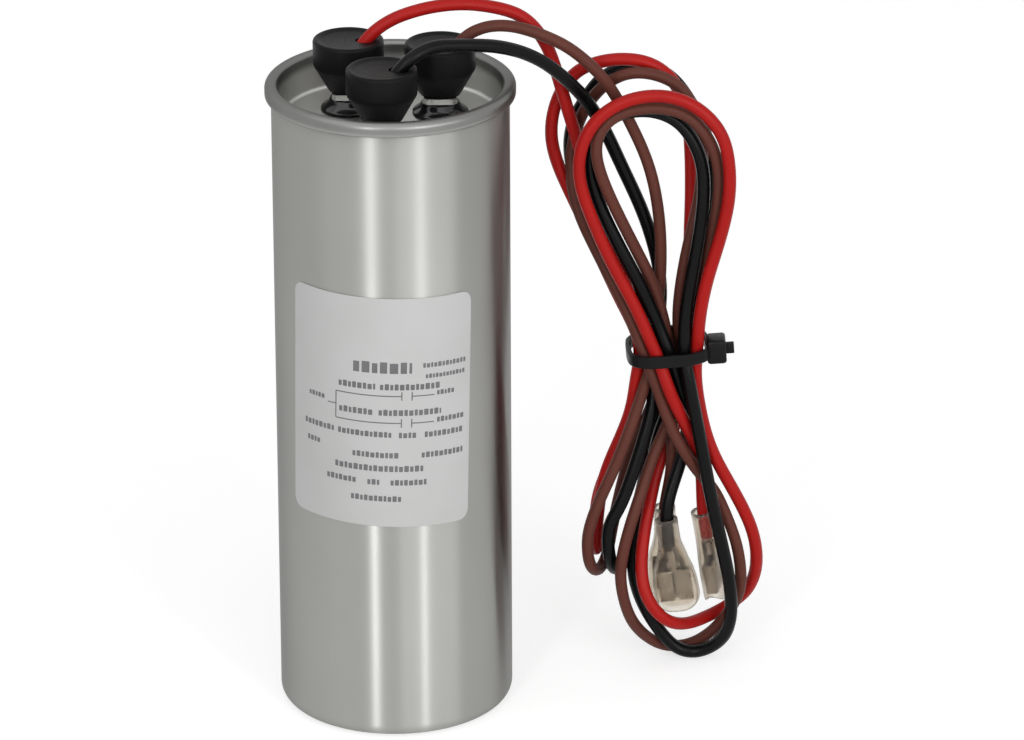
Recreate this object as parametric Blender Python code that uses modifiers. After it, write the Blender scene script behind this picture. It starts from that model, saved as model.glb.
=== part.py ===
"""Dual run capacitor: a round aluminium can, three booted terminals and three tied leads."""

import math

import bmesh
import bpy
from mathutils import Matrix, Vector

MM = 0.001

# All sizes below are in millimetres and degrees.
CLEARANCE = 0.3
ROUND_SIDES = 64

# Can and cover
RIM_TOP = 142.7
CAN_RADIUS = 25.4
CAN_WALL = 0.6
CAN_FLOOR = 0.8
CAN_CORNER = 3.0
COVER_SHEET = 0.5
PANEL_SHEET = 0.6
SINK_DEPTH = 8.8
SINK_CORNER = 0.6
SKIRT_WALL = 1.05
SKIRT_DEPTH = 3.1
CURL_SHEET = 0.9
CURL_ROUNDING = 0.85
GASKET_HEIGHT = 0.6

SINK_OUTER = CAN_RADIUS - CAN_WALL - CLEARANCE
SINK_INNER = SINK_OUTER - COVER_SHEET
SKIRT_INNER = CAN_RADIUS + CLEARANCE
RIM_RADIUS = SKIRT_INNER + SKIRT_WALL
CURL_UNDER = RIM_TOP - CURL_SHEET
CAN_TOP = CURL_UNDER - GASKET_HEIGHT - 2 * CLEARANCE
PANEL_TOP = RIM_TOP - SINK_DEPTH
PANEL_UNDER = PANEL_TOP - PANEL_SHEET

# Label, with its side edges as angles from the side that faces the camera
LABEL_LEFT = -56.25
LABEL_RIGHT = 41.25
LABEL_BOTTOM = 49.0
LABEL_HEIGHT = 53.5
LABEL_CORNER = 2.5
LABEL_GAP = 0.1
LABEL_SHEET = 0.15

# Terminals stand on one circle; heights are measured from the panel
TERMINAL_CIRCLE = 11.4
TERMINAL_ANGLES = {"red": 142.0, "brown": 22.0, "black": 262.0}
STEM_RADIUS = 1.5
STEM_BELOW = 3.3
SHANK_WALL = 1.2
COLLAR_RADIUS = 6.0
COLLAR_NECK_RADIUS = 4.1
COLLAR_TOP = 2.6
FLANGE_RADIUS = 4.6
FLANGE_HEIGHT = 1.4
PLATE_WIDTH = 7.0
PLATE_THICKNESS = 1.2
PLATE_NICK = 0.8
BLADE_WIDTH = 6.3
BLADE_THICKNESS = 0.8
BLADE_LENGTH = 5.4
BLADE_HOLE_RADIUS = 0.8
BLADE_HOLE_DEPTH = 2.4

BORE_RADIUS = STEM_RADIUS + CLEARANCE
SHANK_RADIUS = BORE_RADIUS + SHANK_WALL
COVER_HOLE_RADIUS = SHANK_RADIUS + CLEARANCE
PLATE_UNDER = COLLAR_TOP + CLEARANCE
PLATE_TOP = PLATE_UNDER + PLATE_THICKNESS
BLADE_TOP = PLATE_TOP + BLADE_LENGTH

# Boots and the receptacles inside them
BOOT_RADIUS = 7.6
BOOT_HEIGHT = 11.4
BOOT_BAND = 6.0
BOOT_WALL = 1.2
BOOT_ROOF = 1.15
BOOT_NECK_WALL = 0.65
BOOT_DISH = 0.45
FLAG_SHEET = 0.4
FLAG_LENGTH = 4.5
BARREL_LENGTH = 1.0
WIRE_HOLE_CLEARANCE = 0.5

# Where a wire starts in its boot, from the terminal, and how steeply it leaves toward +X
WIRE_START_SHIFT = 0.8
WIRE_START_HEIGHT = 11.5
WIRE_RISE = 52.0
WIRE_STEP = 2.8

# How far apart a wire's rings are, and the turn in degrees that needs another ring
ROUTE_SPACING = 6.0
ROUTE_TURN = 16.0

BOOT_UNDER = PLATE_TOP + CLEARANCE
BOOT_TOP = BOOT_UNDER + BOOT_HEIGHT
BOOT_SHOULDER = BOOT_TOP - BOOT_BAND
BOOT_NECK_INNER = BLADE_WIDTH / 2 + 2 * CLEARANCE
BOOT_NECK_RADIUS = BOOT_NECK_INNER + BOOT_NECK_WALL
FLAG_HALF_WIDTH = BLADE_WIDTH / 2 + CLEARANCE + FLAG_SHEET
FLAG_HALF_DEPTH = BLADE_THICKNESS / 2 + CLEARANCE + FLAG_SHEET
FLAG_TOP = BLADE_TOP + CLEARANCE + FLAG_SHEET

# Leads
WIRE_DIAMETERS = {"red": 2.8, "brown": 2.6, "black": 2.9}
WIRE_COLOURS = {
    "red": (0.56, 0.03, 0.03),
    "brown": (0.16, 0.06, 0.04),
    "black": (0.012, 0.013, 0.015),
}

# Connectors: centre of the neck, centre of the mouth and the way the wide side faces
CONNECTORS = {
    "red": ((67.3, 15.9, 35.4), (70.9, 16.6, 15.2), (0.3, 0.95, 0.0)),
    "brown": ((59.0, 18.4, 35.4), (60.6, 17.9, 15.0), (1.0, 0.12, 0.0)),
    "black": ((59.4, 12.5, 35.0), (62.2, 11.2, 14.8), (1.0, -0.05, 0.0)),
}
SLEEVE_WALL = 0.6
SLEEVE_SECTIONS = [
    (0.0, 2.5, 2.5),
    (6.5, 2.55, 2.5),
    (9.0, 3.4, 2.45),
    (11.5, 4.5, 2.35),
    (15.0, 5.0, 2.3),
    (20.4, 5.25, 2.3),
]
PUSH_ON_START = 12.0
PUSH_ON_LENGTH = 6.9
PUSH_ON_SHEET = 0.35
CRIMP_START = 7.3
CRIMP_LENGTH = 2.9
CRIMP_RADIUS = 1.5
BRIDGE_WIDTH = 2.8

PUSH_ON_HALF_WIDTH = BLADE_WIDTH / 2 + 0.1 + PUSH_ON_SHEET
PUSH_ON_HALF_DEPTH = BLADE_THICKNESS / 2 + 0.35 + PUSH_ON_SHEET

# Cable tie: the inside of its loop seen from above, its level and its head
TIE_LOOP = [
    (51.5, 15.8), (51.5, 12.6), (51.9, 9.2), (52.8, 7.4), (54.6, 6.4), (56.6, 6.0), (62.8, 6.0),
    (64.8, 6.6), (66.7, 7.6), (67.7, 9.4), (67.7, 12.6), (67.4, 15.8), (67.0, 17.8), (66.2, 20.0),
    (64.6, 21.4), (61.2, 22.0), (57.8, 22.3), (56.0, 21.9), (53.4, 19.8), (51.8, 17.6),
]
TIE_MIDDLE = 75.4
TIE_TILT = 4.0
TIE_CENTRE = (59.5, 13.0)
TIE_WIDTH = 2.7
TIE_SHEET = 1.1
TIE_HEAD_PLACE = (70.1, 11.2)
TIE_HEAD_SIZE = (4.2, 5.5, 5.5)
TIE_HEAD_BEVEL = 0.6
TIE_TAIL_LENGTH = 1.8

# Sealed inner pieces
WINDING_GAP = 1.4
MAIN_SHARE = 0.72
SPACER_HEIGHT = 2.0
MANDREL_RADIUS = 3.1
MANDREL_BORE = 2.2
INNER_SHEET = 1.5
LINER_SHEET = 0.5
HEAD_SPACE = 9.3
INTERRUPTER_BELOW = 4.1
INTERRUPTER_SHEET = 1.2
INNER_LEAD_DIAMETER = 1.2

# Points that steer the leads from each boot, through the tie and the lobes, to the sleeves
ROUTES = {}
ROUTES["red"] = [
    (-2.9, 7.2, 151.7), (0.4, 7.6, 153.8), (4.5, 8.2, 155.2), (9.5, 9, 156.2), (16, 10, 156.5),
    (22.5, 11.5, 155), (28, 12.5, 153), (32, 13, 148.5), (34.5, 13.5, 143), (36, 14, 137),
    (38, 14, 130), (40.5, 15, 121), (43.5, 16, 109), (47.4, 17.6, 97), (51.6, 18, 85.5),
    (53.1, 17, 78.5), (53.5, 16.2, 74), (53.5, 17.4, 67), (52.7, 20.5, 59), (51, 24.5, 50),
    (48.5, 27, 43.5), (45.5, 28.5, 37.5), (44, 28.5, 31), (44, 26.5, 26), (44, 21, 24),
    (44, 16, 26), (44, 14, 31), (45, 14, 43.5), (48.5, 14, 52), (51.9, 14, 60.5),
    (52.6, 13.5, 68.5), (53.9, 12.4, 75), (52.6, 13.5, 80), (49, 15, 86.5), (44.9, 16.6, 95.5),
    (40, 18, 106.5), (36, 18.5, 115), (34, 18.5, 122), (34.5, 18.5, 128.5), (36.5, 18.5, 134),
    (40, 18, 138.5), (45, 17.5, 140.5), (49.5, 17.5, 141), (54.5, 17.5, 140.5), (59, 17.5, 138),
    (62.5, 17.5, 133), (64, 17.5, 126), (64.5, 17, 117), (64.5, 17, 106.5), (64, 16.5, 93.5),
    (65, 16.6, 82), (65.1, 16.6, 73.5), (64.8, 17.2, 67.5), (63.5, 19.5, 59.5), (60.4, 20.6, 51.5),
    (57.4, 18.8, 44.5), (55.7, 15.6, 37), (54.1, 12, 29.5), (53.7, 8.7, 23), (55.2, 7.3, 17.2),
    (59.4, 7.7, 12), (64, 11.5, 9.8), (67.9, 16.8, 9), (71.5, 19.5, 9.5), (75, 20.5, 11.5),
    (78, 19, 15), (79.5, 16.5, 20.5), (79.5, 14, 27), (78, 12.5, 34), (74, 11.5, 42.5),
    (70.3, 10.6, 49.5), (67.8, 10.6, 56), (66.2, 10.6, 64), (65.4, 10.5, 70.5), (65.8, 10.3, 76),
    (66.2, 8, 85), (67.7, 7, 94), (70.5, 6, 103.5), (72.5, 5, 113), (72.5, 4.5, 120.5),
    (71.5, 4.5, 127), (68.5, 4.5, 132), (63.5, 4.5, 136), (58, 4.5, 137.5), (52, 4.5, 137),
    (46.5, 4.5, 134.5), (42.5, 4.5, 130.5), (40, 4.5, 124.5), (40, 5, 117), (43, 5.5, 108.5),
    (46.8, 6.8, 98.5), (51.7, 7.6, 89), (54.4, 7.8, 82.5), (56.9, 8.2, 76), (58.3, 7.5, 72.5),
    (60, 7, 67), (62.8, 9, 60.5), (65.7, 12, 53), (67.1, 13.9, 47), (67.3, 15, 41), (67.5, 16, 35),
    (68.5, 16.3, 29),
]
ROUTES["brown"] = [
    (16.8, 4.5, 151.6), (19.6, 5, 152.7), (22.5, 6, 152.9), (26.5, 7, 152.3), (31, 8, 150.5),
    (37, 9, 147.5), (41.5, 10, 143.5), (46.5, 11, 138), (51, 13, 128.5), (55, 13.5, 119.5),
    (57, 13.5, 111), (58, 14, 101.5), (58, 15, 91), (57, 15.1, 82.5), (56.7, 13.9, 77.5),
    (56.9, 12.4, 75), (55.1, 11.2, 69.5), (52.7, 10.5, 61.5), (48.8, 9.5, 50.5), (45.2, 9, 42.5),
    (42, 9.5, 34), (41.9, 9.5, 28), (43, 11.5, 23), (45, 16, 21), (46.7, 21, 22.8),
    (47.5, 22.5, 28), (49, 23, 35), (51, 23, 44.5), (54.5, 21.1, 53.5), (57, 19, 62),
    (58.8, 16.2, 68), (60.2, 12.3, 75), (58.4, 12.5, 83.5), (56.4, 12, 91), (53.2, 9.6, 98.5),
    (49, 7.5, 108), (45.3, 5.8, 117), (43.4, 5.5, 124), (44.4, 6, 129), (48, 6, 132.5),
    (53, 6, 134), (58.5, 6, 134), (63.5, 6, 132.5), (67.5, 6, 128), (70, 6.5, 122),
    (70.5, 7.5, 113.5), (69, 9, 104.5), (67.5, 10.5, 94.5), (65.6, 12.4, 83.5), (64.8, 13.2, 75),
    (63.8, 13.8, 69), (61.8, 14.8, 62), (59, 14.5, 55.5), (56, 13, 49), (54, 11, 42.5),
    (52, 9.5, 37), (50, 8.5, 30), (49, 8.5, 23.5), (50, 9.5, 16.5), (52, 12.5, 9.5), (56, 16, 4),
    (60, 18.5, 1.2), (65, 19, 1.2), (70, 17, 5.5), (73.5, 14.5, 11.5), (76, 13.5, 17),
    (76, 12.5, 22.5), (75, 12, 29.5), (72.5, 11.5, 36.5), (70, 11.5, 42.5), (67, 11, 46),
    (64, 9, 51), (60, 9, 58.5), (57.9, 9, 65.5), (56.3, 8.7, 70.5), (53.9, 9.4, 76.5),
    (51.8, 10, 83), (47.8, 11, 91), (43.9, 13, 98.5), (40, 14.5, 106.5), (38.5, 15.8, 113),
    (38.5, 18, 120), (40, 18.5, 126), (42.5, 17.5, 131.5), (46, 16, 136), (50, 15, 138.5),
    (54, 14.5, 139), (58, 14.5, 138), (62, 14, 136), (64.5, 14, 132), (66.5, 13.5, 126),
    (67, 13, 118), (66, 13, 109), (64, 12.5, 101), (62.5, 12, 93), (61.5, 13, 83.5),
    (62.2, 15.4, 74), (61.5, 16.4, 67.5), (61.2, 17.8, 61), (60.5, 17, 53.5), (60.8, 17.2, 46),
    (60, 17.5, 40.5), (59, 18.5, 35), (59, 18.7, 29),
]
ROUTES["black"] = [
    (4.7, -11, 151.8), (7.2, -10, 153), (10, -8.2, 153.6), (16, -5.5, 152.5), (21.5, -2.5, 151.5),
    (27.5, 1, 149), (33, 4.5, 145), (37.5, 7.5, 140), (42, 11, 134), (46, 13.5, 126),
    (49.5, 15, 117), (53.5, 16, 108), (56.5, 17.5, 98.5), (58.5, 18.5, 88), (57.5, 18, 79),
    (56.3, 15.2, 73.5), (56.3, 14, 68.5), (56.8, 12.5, 63.5), (54.4, 11, 55), (51.8, 10, 46.5),
    (49.2, 9.5, 39), (46.5, 9.5, 35), (46.5, 9.5, 29), (47.5, 12, 23), (49.5, 18, 20.5),
    (52, 23.5, 23), (52.5, 26, 29), (54.5, 26.5, 36), (56, 27, 45.5), (57, 26, 54), (58.5, 22, 64),
    (59.3, 18.2, 72.5), (57, 21, 77.5), (52.5, 21.5, 85), (47.5, 21.5, 95), (42.5, 21.5, 104.5),
    (39, 22, 112.5), (38, 22, 119.5), (39, 22, 125.5), (42, 21.5, 131), (45, 21, 135.5),
    (49, 21, 137.4), (53, 21, 138.4), (57, 21, 137.6), (61, 21, 135), (64, 21, 130.4),
    (67, 21, 124.8), (69, 21, 117.5), (69, 20.5, 107), (67.5, 20, 95.5), (66, 19.7, 84),
    (63.8, 19.6, 76.5), (62.3, 18.4, 72.5), (62.4, 19.7, 66), (60.5, 21.5, 59), (57.8, 22.8, 51),
    (56.5, 21.5, 44), (54.5, 19, 36.5), (53, 17, 30.5), (52, 15, 24.5), (52.5, 14, 19),
    (54.5, 14.5, 13), (57.5, 15, 7.5), (61.5, 15.5, 2), (66, 15.5, 1), (70, 14.5, 3), (73, 12.5, 7),
    (74, 10.5, 13), (73.5, 9, 21.5), (71, 8, 33), (69, 7.5, 42.5), (67.5, 7.5, 51), (66, 7.5, 59.5),
    (64.5, 7.5, 67.5), (63.5, 8, 73), (62.9, 8.9, 76), (63.1, 8.8, 84.5), (64.2, 8.2, 92.5),
    (66, 7.5, 103), (67, 7.5, 112), (67, 8, 119.5), (65, 8, 125.5), (61.6, 9, 130),
    (56.5, 8.9, 132.3), (51.5, 9.2, 132.2), (47, 9.3, 130.8), (44, 9, 127), (42.5, 8.3, 124),
    (42.3, 8.3, 119), (44, 8, 112), (48, 7.8, 103), (52.6, 8.3, 94), (55.1, 9.2, 88),
    (57.6, 10, 81.5), (59.8, 9, 76), (61.2, 10.4, 71), (63, 10.9, 64), (64.2, 14.2, 57.5),
    (63.5, 15.7, 50.5), (61.3, 14.2, 44), (59.6, 12.8, 39), (59.5, 12.5, 34.5), (60, 12.5, 28.5),
]


def make_collection(name):
    group = bpy.data.collections.new(name)
    bpy.context.scene.collection.children.link(group)
    return group


def principled(name, colour, roughness, metallic=0.0, transmission=0.0):
    material = bpy.data.materials.new(name)
    material.use_nodes = True
    shader = material.node_tree.nodes["Principled BSDF"]
    shader.inputs["Base Color"].default_value = (*colour, 1.0)
    shader.inputs["Roughness"].default_value = roughness
    shader.inputs["Metallic"].default_value = metallic
    shader.inputs["Transmission Weight"].default_value = transmission
    return material


def place_holder(name, group, matrix):
    """An empty that carries the pieces of one terminal or one connector."""
    empty = bpy.data.objects.new(name, None)
    group.objects.link(empty)
    empty.matrix_world = matrix
    return empty


def settle(item, group, material, parent):
    group.objects.link(item)
    item.parent = parent
    if material is not None:
        item.data.materials.append(material)
    return item


def turned(name, group, profile, sides, material, parent=None, closed=False):
    """Turns a profile of radius and height about the vertical axis with a Screw.

    The profile runs down its outer side. A closed profile is the section of a ring.
    """
    mesh = bpy.data.meshes.new(name)
    points = [(radius * MM, 0.0, height * MM) for radius, height in profile]
    edges = [(k, k + 1) for k in range(len(points) - 1)]
    if closed:
        edges.append((len(points) - 1, 0))
    mesh.from_pydata(points, edges, [])
    item = settle(bpy.data.objects.new(name, mesh), group, material, parent)
    screw = item.modifiers.new("turn", "SCREW")
    screw.axis = "Z"
    screw.angle = 2 * math.pi
    screw.steps = sides
    screw.render_steps = sides
    screw.use_merge_vertices = True
    screw.merge_threshold = 0.00001
    screw.use_smooth_shade = True
    return item


def from_bmesh(name, work, group, material, parent=None):
    mesh = bpy.data.meshes.new(name)
    work.to_mesh(mesh)
    work.free()
    return settle(bpy.data.objects.new(name, mesh), group, material, parent)


def box(name, group, low, high, material=None, parent=None):
    work = bmesh.new()
    bmesh.ops.create_cube(work, size=1.0)
    for vertex in work.verts:
        for k in range(3):
            middle = (low[k] + high[k]) / 2
            vertex.co[k] = (middle + vertex.co[k] * (high[k] - low[k])) * MM
    return from_bmesh(name, work, group, material, parent)


def rod(name, group, start, end, radius, sides, material=None, parent=None):
    """A round bar between two points."""
    start = Vector(start)
    end = Vector(end)
    length = (end - start).length
    turn = (end - start).to_track_quat("Z", "Y").to_matrix().to_4x4()
    work = bmesh.new()
    bmesh.ops.create_cone(
        work,
        cap_ends=True,
        segments=sides,
        radius1=radius * MM,
        radius2=radius * MM,
        depth=length * MM,
        matrix=Matrix.Translation((start + end) / 2 * MM) @ turn,
    )
    return from_bmesh(name, work, group, material, parent)


def flat_piece(name, group, outlines, thickness, material, parent=None):
    """A flat outline, or several nested ones, thickened evenly about its own plane."""
    curve = bpy.data.curves.new(name, "CURVE")
    curve.dimensions = "2D"
    curve.fill_mode = "BOTH"
    curve.extrude = thickness / 2 * MM
    for outline in outlines:
        spline = curve.splines.new("POLY")
        spline.points.add(len(outline) - 1)
        for place, (x, y) in zip(spline.points, outline):
            place.co = (x * MM, y * MM, 0.0, 1.0)
        spline.use_cyclic_u = True
    return settle(bpy.data.objects.new(name, curve), group, material, parent)


def as_mesh(item):
    """Turns a curve into a mesh with welded caps, so that it can be cut and joined."""
    bpy.context.view_layer.update()
    graph = bpy.context.evaluated_depsgraph_get()
    mesh = bpy.data.meshes.new_from_object(item.evaluated_get(graph))
    work = bmesh.new()
    work.from_mesh(mesh)
    bmesh.ops.remove_doubles(work, verts=work.verts, dist=0.000001)
    bmesh.ops.recalc_face_normals(work, faces=work.faces)
    work.to_mesh(mesh)
    work.free()
    name = item.name
    group = item.users_collection[0]
    parent = item.parent
    local = item.matrix_local.copy()
    bpy.data.objects.remove(item, do_unlink=True)
    mesh.name = name
    solid = bpy.data.objects.new(name, mesh)
    group.objects.link(solid)
    solid.parent = parent
    solid.matrix_local = local
    return solid


def combine(item, helper, operation):
    """Joins or cuts with a helper solid that isn't a piece itself."""
    helper.hide_render = True
    helper.display_type = "WIRE"
    modifier = item.modifiers.new(helper.name, "BOOLEAN")
    modifier.operation = operation
    modifier.solver = "EXACT"
    modifier.object = helper


def arc(centre, radius, start, end, steps):
    """Points of radius and height along an arc, with angles in degrees."""
    out = []
    for k in range(steps + 1):
        turn = math.radians(start + (end - start) * k / steps)
        out.append((centre[0] + radius * math.cos(turn), centre[1] + radius * math.sin(turn)))
    return out


def terminal_place(lead):
    turn = math.radians(TERMINAL_ANGLES[lead])
    return Vector((TERMINAL_CIRCLE * math.cos(turn), TERMINAL_CIRCLE * math.sin(turn), PANEL_TOP))


def build_can(group, material):
    inner = CAN_RADIUS - CAN_WALL
    corner = CAN_CORNER - CAN_WALL
    profile = [(0.0, CAN_FLOOR)]
    profile += arc((inner - corner, CAN_FLOOR + corner), corner, -90, 0, 2)
    profile += [(inner, CAN_TOP), (CAN_RADIUS, CAN_TOP)]
    profile += arc((CAN_RADIUS - CAN_CORNER, CAN_CORNER), CAN_CORNER, 0, -90, 4)
    profile += [(0.0, 0.0)]
    turned("can", group, profile, ROUND_SIDES, material)


def build_cover(group, cutters, material):
    """Panel, sunk wall and the curl that closes over the can's edge."""
    rim = CURL_ROUNDING
    profile = [(0.0, PANEL_TOP)]
    profile += arc((SINK_INNER - SINK_CORNER, PANEL_TOP + SINK_CORNER), SINK_CORNER, -90, 0, 2)
    profile += arc((SINK_INNER + rim, RIM_TOP - rim), rim, 180, 90, 3)
    profile += arc((RIM_RADIUS - rim, RIM_TOP - rim), rim, 90, 0, 3)
    profile += [(RIM_RADIUS, RIM_TOP - SKIRT_DEPTH), (SKIRT_INNER, RIM_TOP - SKIRT_DEPTH)]
    profile += [(SKIRT_INNER, CURL_UNDER), (SINK_OUTER, CURL_UNDER)]
    profile += [(SINK_OUTER, PANEL_UNDER + SINK_CORNER), (SINK_OUTER - SINK_CORNER, PANEL_UNDER)]
    profile += [(0.0, PANEL_UNDER)]
    cover = turned("cover", group, profile, ROUND_SIDES, material)
    for lead in TERMINAL_ANGLES:
        place = terminal_place(lead)
        low = place - Vector((0, 0, PANEL_SHEET + 2))
        high = place + Vector((0, 0, 2))
        hole = rod("cover_hole_" + lead, cutters, low, high, COVER_HOLE_RADIUS, 20)
        combine(cover, hole, "DIFFERENCE")


def build_gasket(group, material):
    low = CAN_TOP + CLEARANCE
    high = low + GASKET_HEIGHT
    outer = CAN_RADIUS
    inner = CAN_RADIUS - CAN_WALL
    profile = [(outer, high), (outer, low), (inner, low), (inner, high)]
    turned("seam_gasket", group, profile, ROUND_SIDES, material, closed=True)


def build_label(group, material):
    """A bare sheet: a flat shape with round corners, scored along the can's facets and wrapped."""
    step = 360.0 / ROUND_SIDES
    radius = CAN_RADIUS + LABEL_GAP
    per_degree = math.radians(1.0) * radius
    work = bmesh.new()
    bmesh.ops.create_grid(work, x_segments=1, y_segments=1, size=0.5)
    for vertex in work.verts:
        angle = LABEL_LEFT if vertex.co.x < 0 else LABEL_RIGHT
        height = LABEL_BOTTOM if vertex.co.y < 0 else LABEL_BOTTOM + LABEL_HEIGHT
        vertex.co = (angle * per_degree, 0.0, height)
    bmesh.ops.bevel(
        work,
        geom=work.verts[:],
        offset=LABEL_CORNER,
        offset_type="OFFSET",
        segments=4,
        profile=0.5,
        affect="VERTICES",
    )
    for k in range(math.ceil(LABEL_LEFT / step), math.floor(LABEL_RIGHT / step) + 1):
        bmesh.ops.bisect_plane(
            work,
            geom=work.verts[:] + work.edges[:] + work.faces[:],
            dist=0.05,
            plane_co=(k * step * per_degree, 0.0, 0.0),
            plane_no=(1.0, 0.0, 0.0),
        )
    for vertex in work.verts:
        angle = vertex.co.x / per_degree
        first = math.floor(angle / step + 1e-6)
        ends = []
        for k in (first, first + 1):
            turn = math.radians(k * step - 90.0)
            ends.append(Vector((radius * math.cos(turn), radius * math.sin(turn))))
        flat = ends[0].lerp(ends[1], angle / step - first)
        vertex.co = Vector((flat.x, flat.y, vertex.co.z)) * MM
    bmesh.ops.recalc_face_normals(work, faces=work.faces)
    some = work.faces[:][0]
    if some.normal.dot(some.calc_center_median() * Vector((1, 1, 0))) < 0:
        bmesh.ops.reverse_faces(work, faces=work.faces)
    label = from_bmesh("label", work, group, material)
    sheet = label.modifiers.new("sheet", "SOLIDIFY")
    sheet.thickness = LABEL_SHEET * MM
    sheet.offset = 1.0


def build_insulator(lead, group, material, parent):
    profile = [(BORE_RADIUS, COLLAR_TOP), (COLLAR_NECK_RADIUS, COLLAR_TOP)]
    profile += [(COLLAR_NECK_RADIUS + 0.6, COLLAR_TOP - 1.0), (COLLAR_RADIUS - 0.2, 0.85)]
    profile += [(COLLAR_RADIUS, CLEARANCE), (SHANK_RADIUS, CLEARANCE)]
    under = -PANEL_SHEET - CLEARANCE
    profile += [(SHANK_RADIUS, under), (FLANGE_RADIUS, under)]
    profile += [(FLANGE_RADIUS, under - FLANGE_HEIGHT), (BORE_RADIUS, under - FLANGE_HEIGHT)]
    turned("insulator_" + lead, group, profile, 20, material, parent, closed=True)


def build_terminal(lead, group, cutters, material, parent):
    """Tinned plate on a stem, with one upright blade."""
    a = PLATE_WIDTH / 2
    b = a - PLATE_NICK
    outline = [(-a, -b), (-b, -a), (b, -a), (a, -b), (a, b), (b, a), (-b, a), (-a, b)]
    name = "terminal_" + lead
    plate = flat_piece(name, group, [outline], PLATE_THICKNESS, material, parent)
    plate.location = (0.0, 0.0, (PLATE_UNDER + PLATE_THICKNESS / 2) * MM)
    terminal = as_mesh(plate)
    middle = PLATE_UNDER + PLATE_THICKNESS / 2
    stem = rod(
        "stem_" + lead, cutters, (0, 0, -STEM_BELOW), (0, 0, middle), STEM_RADIUS, 16, None, parent
    )
    combine(terminal, stem, "UNION")
    w = BLADE_WIDTH / 2
    nick = 0.9
    side = [(-w, middle), (w, middle), (w, BLADE_TOP - nick), (w - nick, BLADE_TOP)]
    side += [(nick - w, BLADE_TOP), (-w, BLADE_TOP - nick)]
    blade = flat_piece("blade_" + lead, cutters, [side], BLADE_THICKNESS, None, parent)
    blade.rotation_euler = (math.radians(90.0), 0.0, 0.0)
    combine(terminal, as_mesh(blade), "UNION")
    height = BLADE_TOP - BLADE_HOLE_DEPTH
    hole = rod(
        "blade_hole_" + lead, cutters, (0, -2, height), (0, 2, height), BLADE_HOLE_RADIUS, 12,
        None, parent,
    )
    combine(terminal, hole, "DIFFERENCE")


def curled_section(half_width, half_depth, sheet, lip):
    """Section of a push-on receptacle: a floor with both sides curled over it."""
    w = half_width
    h = half_depth
    outline = [(-w, -h), (w, -h), (w, h), (lip, h), (lip, h - sheet), (w - sheet, h - sheet)]
    outline += [(w - sheet, sheet - h), (sheet - w, sheet - h), (sheet - w, h - sheet)]
    outline += [(-lip, h - sheet), (-lip, h), (-w, h)]
    return outline


def wire_start():
    """Where a wire begins and the way it leaves, measured from its terminal."""
    rise = math.radians(WIRE_RISE)
    start = Vector((WIRE_START_SHIFT, 0.0, WIRE_START_HEIGHT))
    return start, Vector((math.cos(rise), 0.0, math.sin(rise)))


def whole_route(lead):
    """The straight start in the boot, then the chosen points."""
    start, along = wire_start()
    first = [terminal_place(lead) + start + along * WIRE_STEP * k for k in range(3)]
    return first + [Vector(point) for point in ROUTES[lead]]


def build_flag_receptacle(lead, group, cutters, material, parent):
    """Receptacle on the blade inside a boot, with a crimp barrel that leans to the wire."""
    section = curled_section(FLAG_HALF_WIDTH, FLAG_HALF_DEPTH, FLAG_SHEET, 0.6)
    name = "flag_receptacle_" + lead
    low = FLAG_TOP - FLAG_LENGTH
    flag = flat_piece(name, group, [section], FLAG_LENGTH - 0.2, material, parent)
    flag.location = (0.0, 0.0, (low + (FLAG_LENGTH - 0.2) / 2) * MM)
    flag = as_mesh(flag)
    w = FLAG_HALF_WIDTH
    d = FLAG_HALF_DEPTH
    roof = box(
        "roof_" + lead, cutters, (-w, -d, FLAG_TOP - FLAG_SHEET), (w * 0.4, d, FLAG_TOP), None, parent
    )
    combine(flag, roof, "UNION")
    start, along = wire_start()
    end = start - along * (CLEARANCE + 0.05)
    barrel = rod("barrel_" + lead, cutters, end - along * BARREL_LENGTH, end, 1.2, 12, None, parent)
    combine(flag, barrel, "UNION")


def build_boot(lead, group, cutters, material, parent):
    """Hollow boot: round band, cone below it, dished top and a slanted hole for the wire."""
    r = BOOT_RADIUS
    inner = r - BOOT_WALL
    roof = BOOT_TOP - BOOT_DISH - BOOT_ROOF
    profile = [(0.0, BOOT_TOP - BOOT_DISH), (r - 1.8, BOOT_TOP - BOOT_DISH)]
    profile += [(r - 1.3, BOOT_TOP - 0.15), (r - 0.8, BOOT_TOP), (r - 0.25, BOOT_TOP - 0.15)]
    profile += [(r, BOOT_TOP - 0.7), (r, BOOT_SHOULDER + 0.3), (r - 0.25, BOOT_SHOULDER - 0.3)]
    profile += [(BOOT_NECK_RADIUS, BOOT_UNDER), (BOOT_NECK_INNER, BOOT_UNDER)]
    profile += [(BOOT_NECK_INNER, BOOT_UNDER + 0.8), (inner, BOOT_SHOULDER + 0.6)]
    profile += [(inner, roof), (0.0, roof)]
    boot = turned("boot_" + lead, group, profile, 24, material, parent)
    start, along = wire_start()
    radius = WIRE_DIAMETERS[lead] / 2 + WIRE_HOLE_CLEARANCE
    low = start + along * WIRE_STEP * 0.25
    high = start + along * WIRE_STEP * 3
    cutter = rod("wire_hole_" + lead, cutters, low, high, radius, 16, None, parent)
    combine(boot, cutter, "DIFFERENCE")


def smooth_route(points, steps):
    """A cubic B-spline along the points, starting and ending on them."""
    p = [Vector(q) for q in points]
    p = [2 * p[0] - p[1]] + p + [2 * p[-1] - p[-2]]
    out = []
    for i in range(len(p) - 3):
        for k in range(steps):
            t = k / steps
            a = (1 - t) ** 3 / 6
            b = (3 * t ** 3 - 6 * t ** 2 + 4) / 6
            c = (-3 * t ** 3 + 3 * t ** 2 + 3 * t + 1) / 6
            d = t ** 3 / 6
            out.append(a * p[i] + b * p[i + 1] + c * p[i + 2] + d * p[i + 3])
    out.append(p[-2])
    return out


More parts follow.
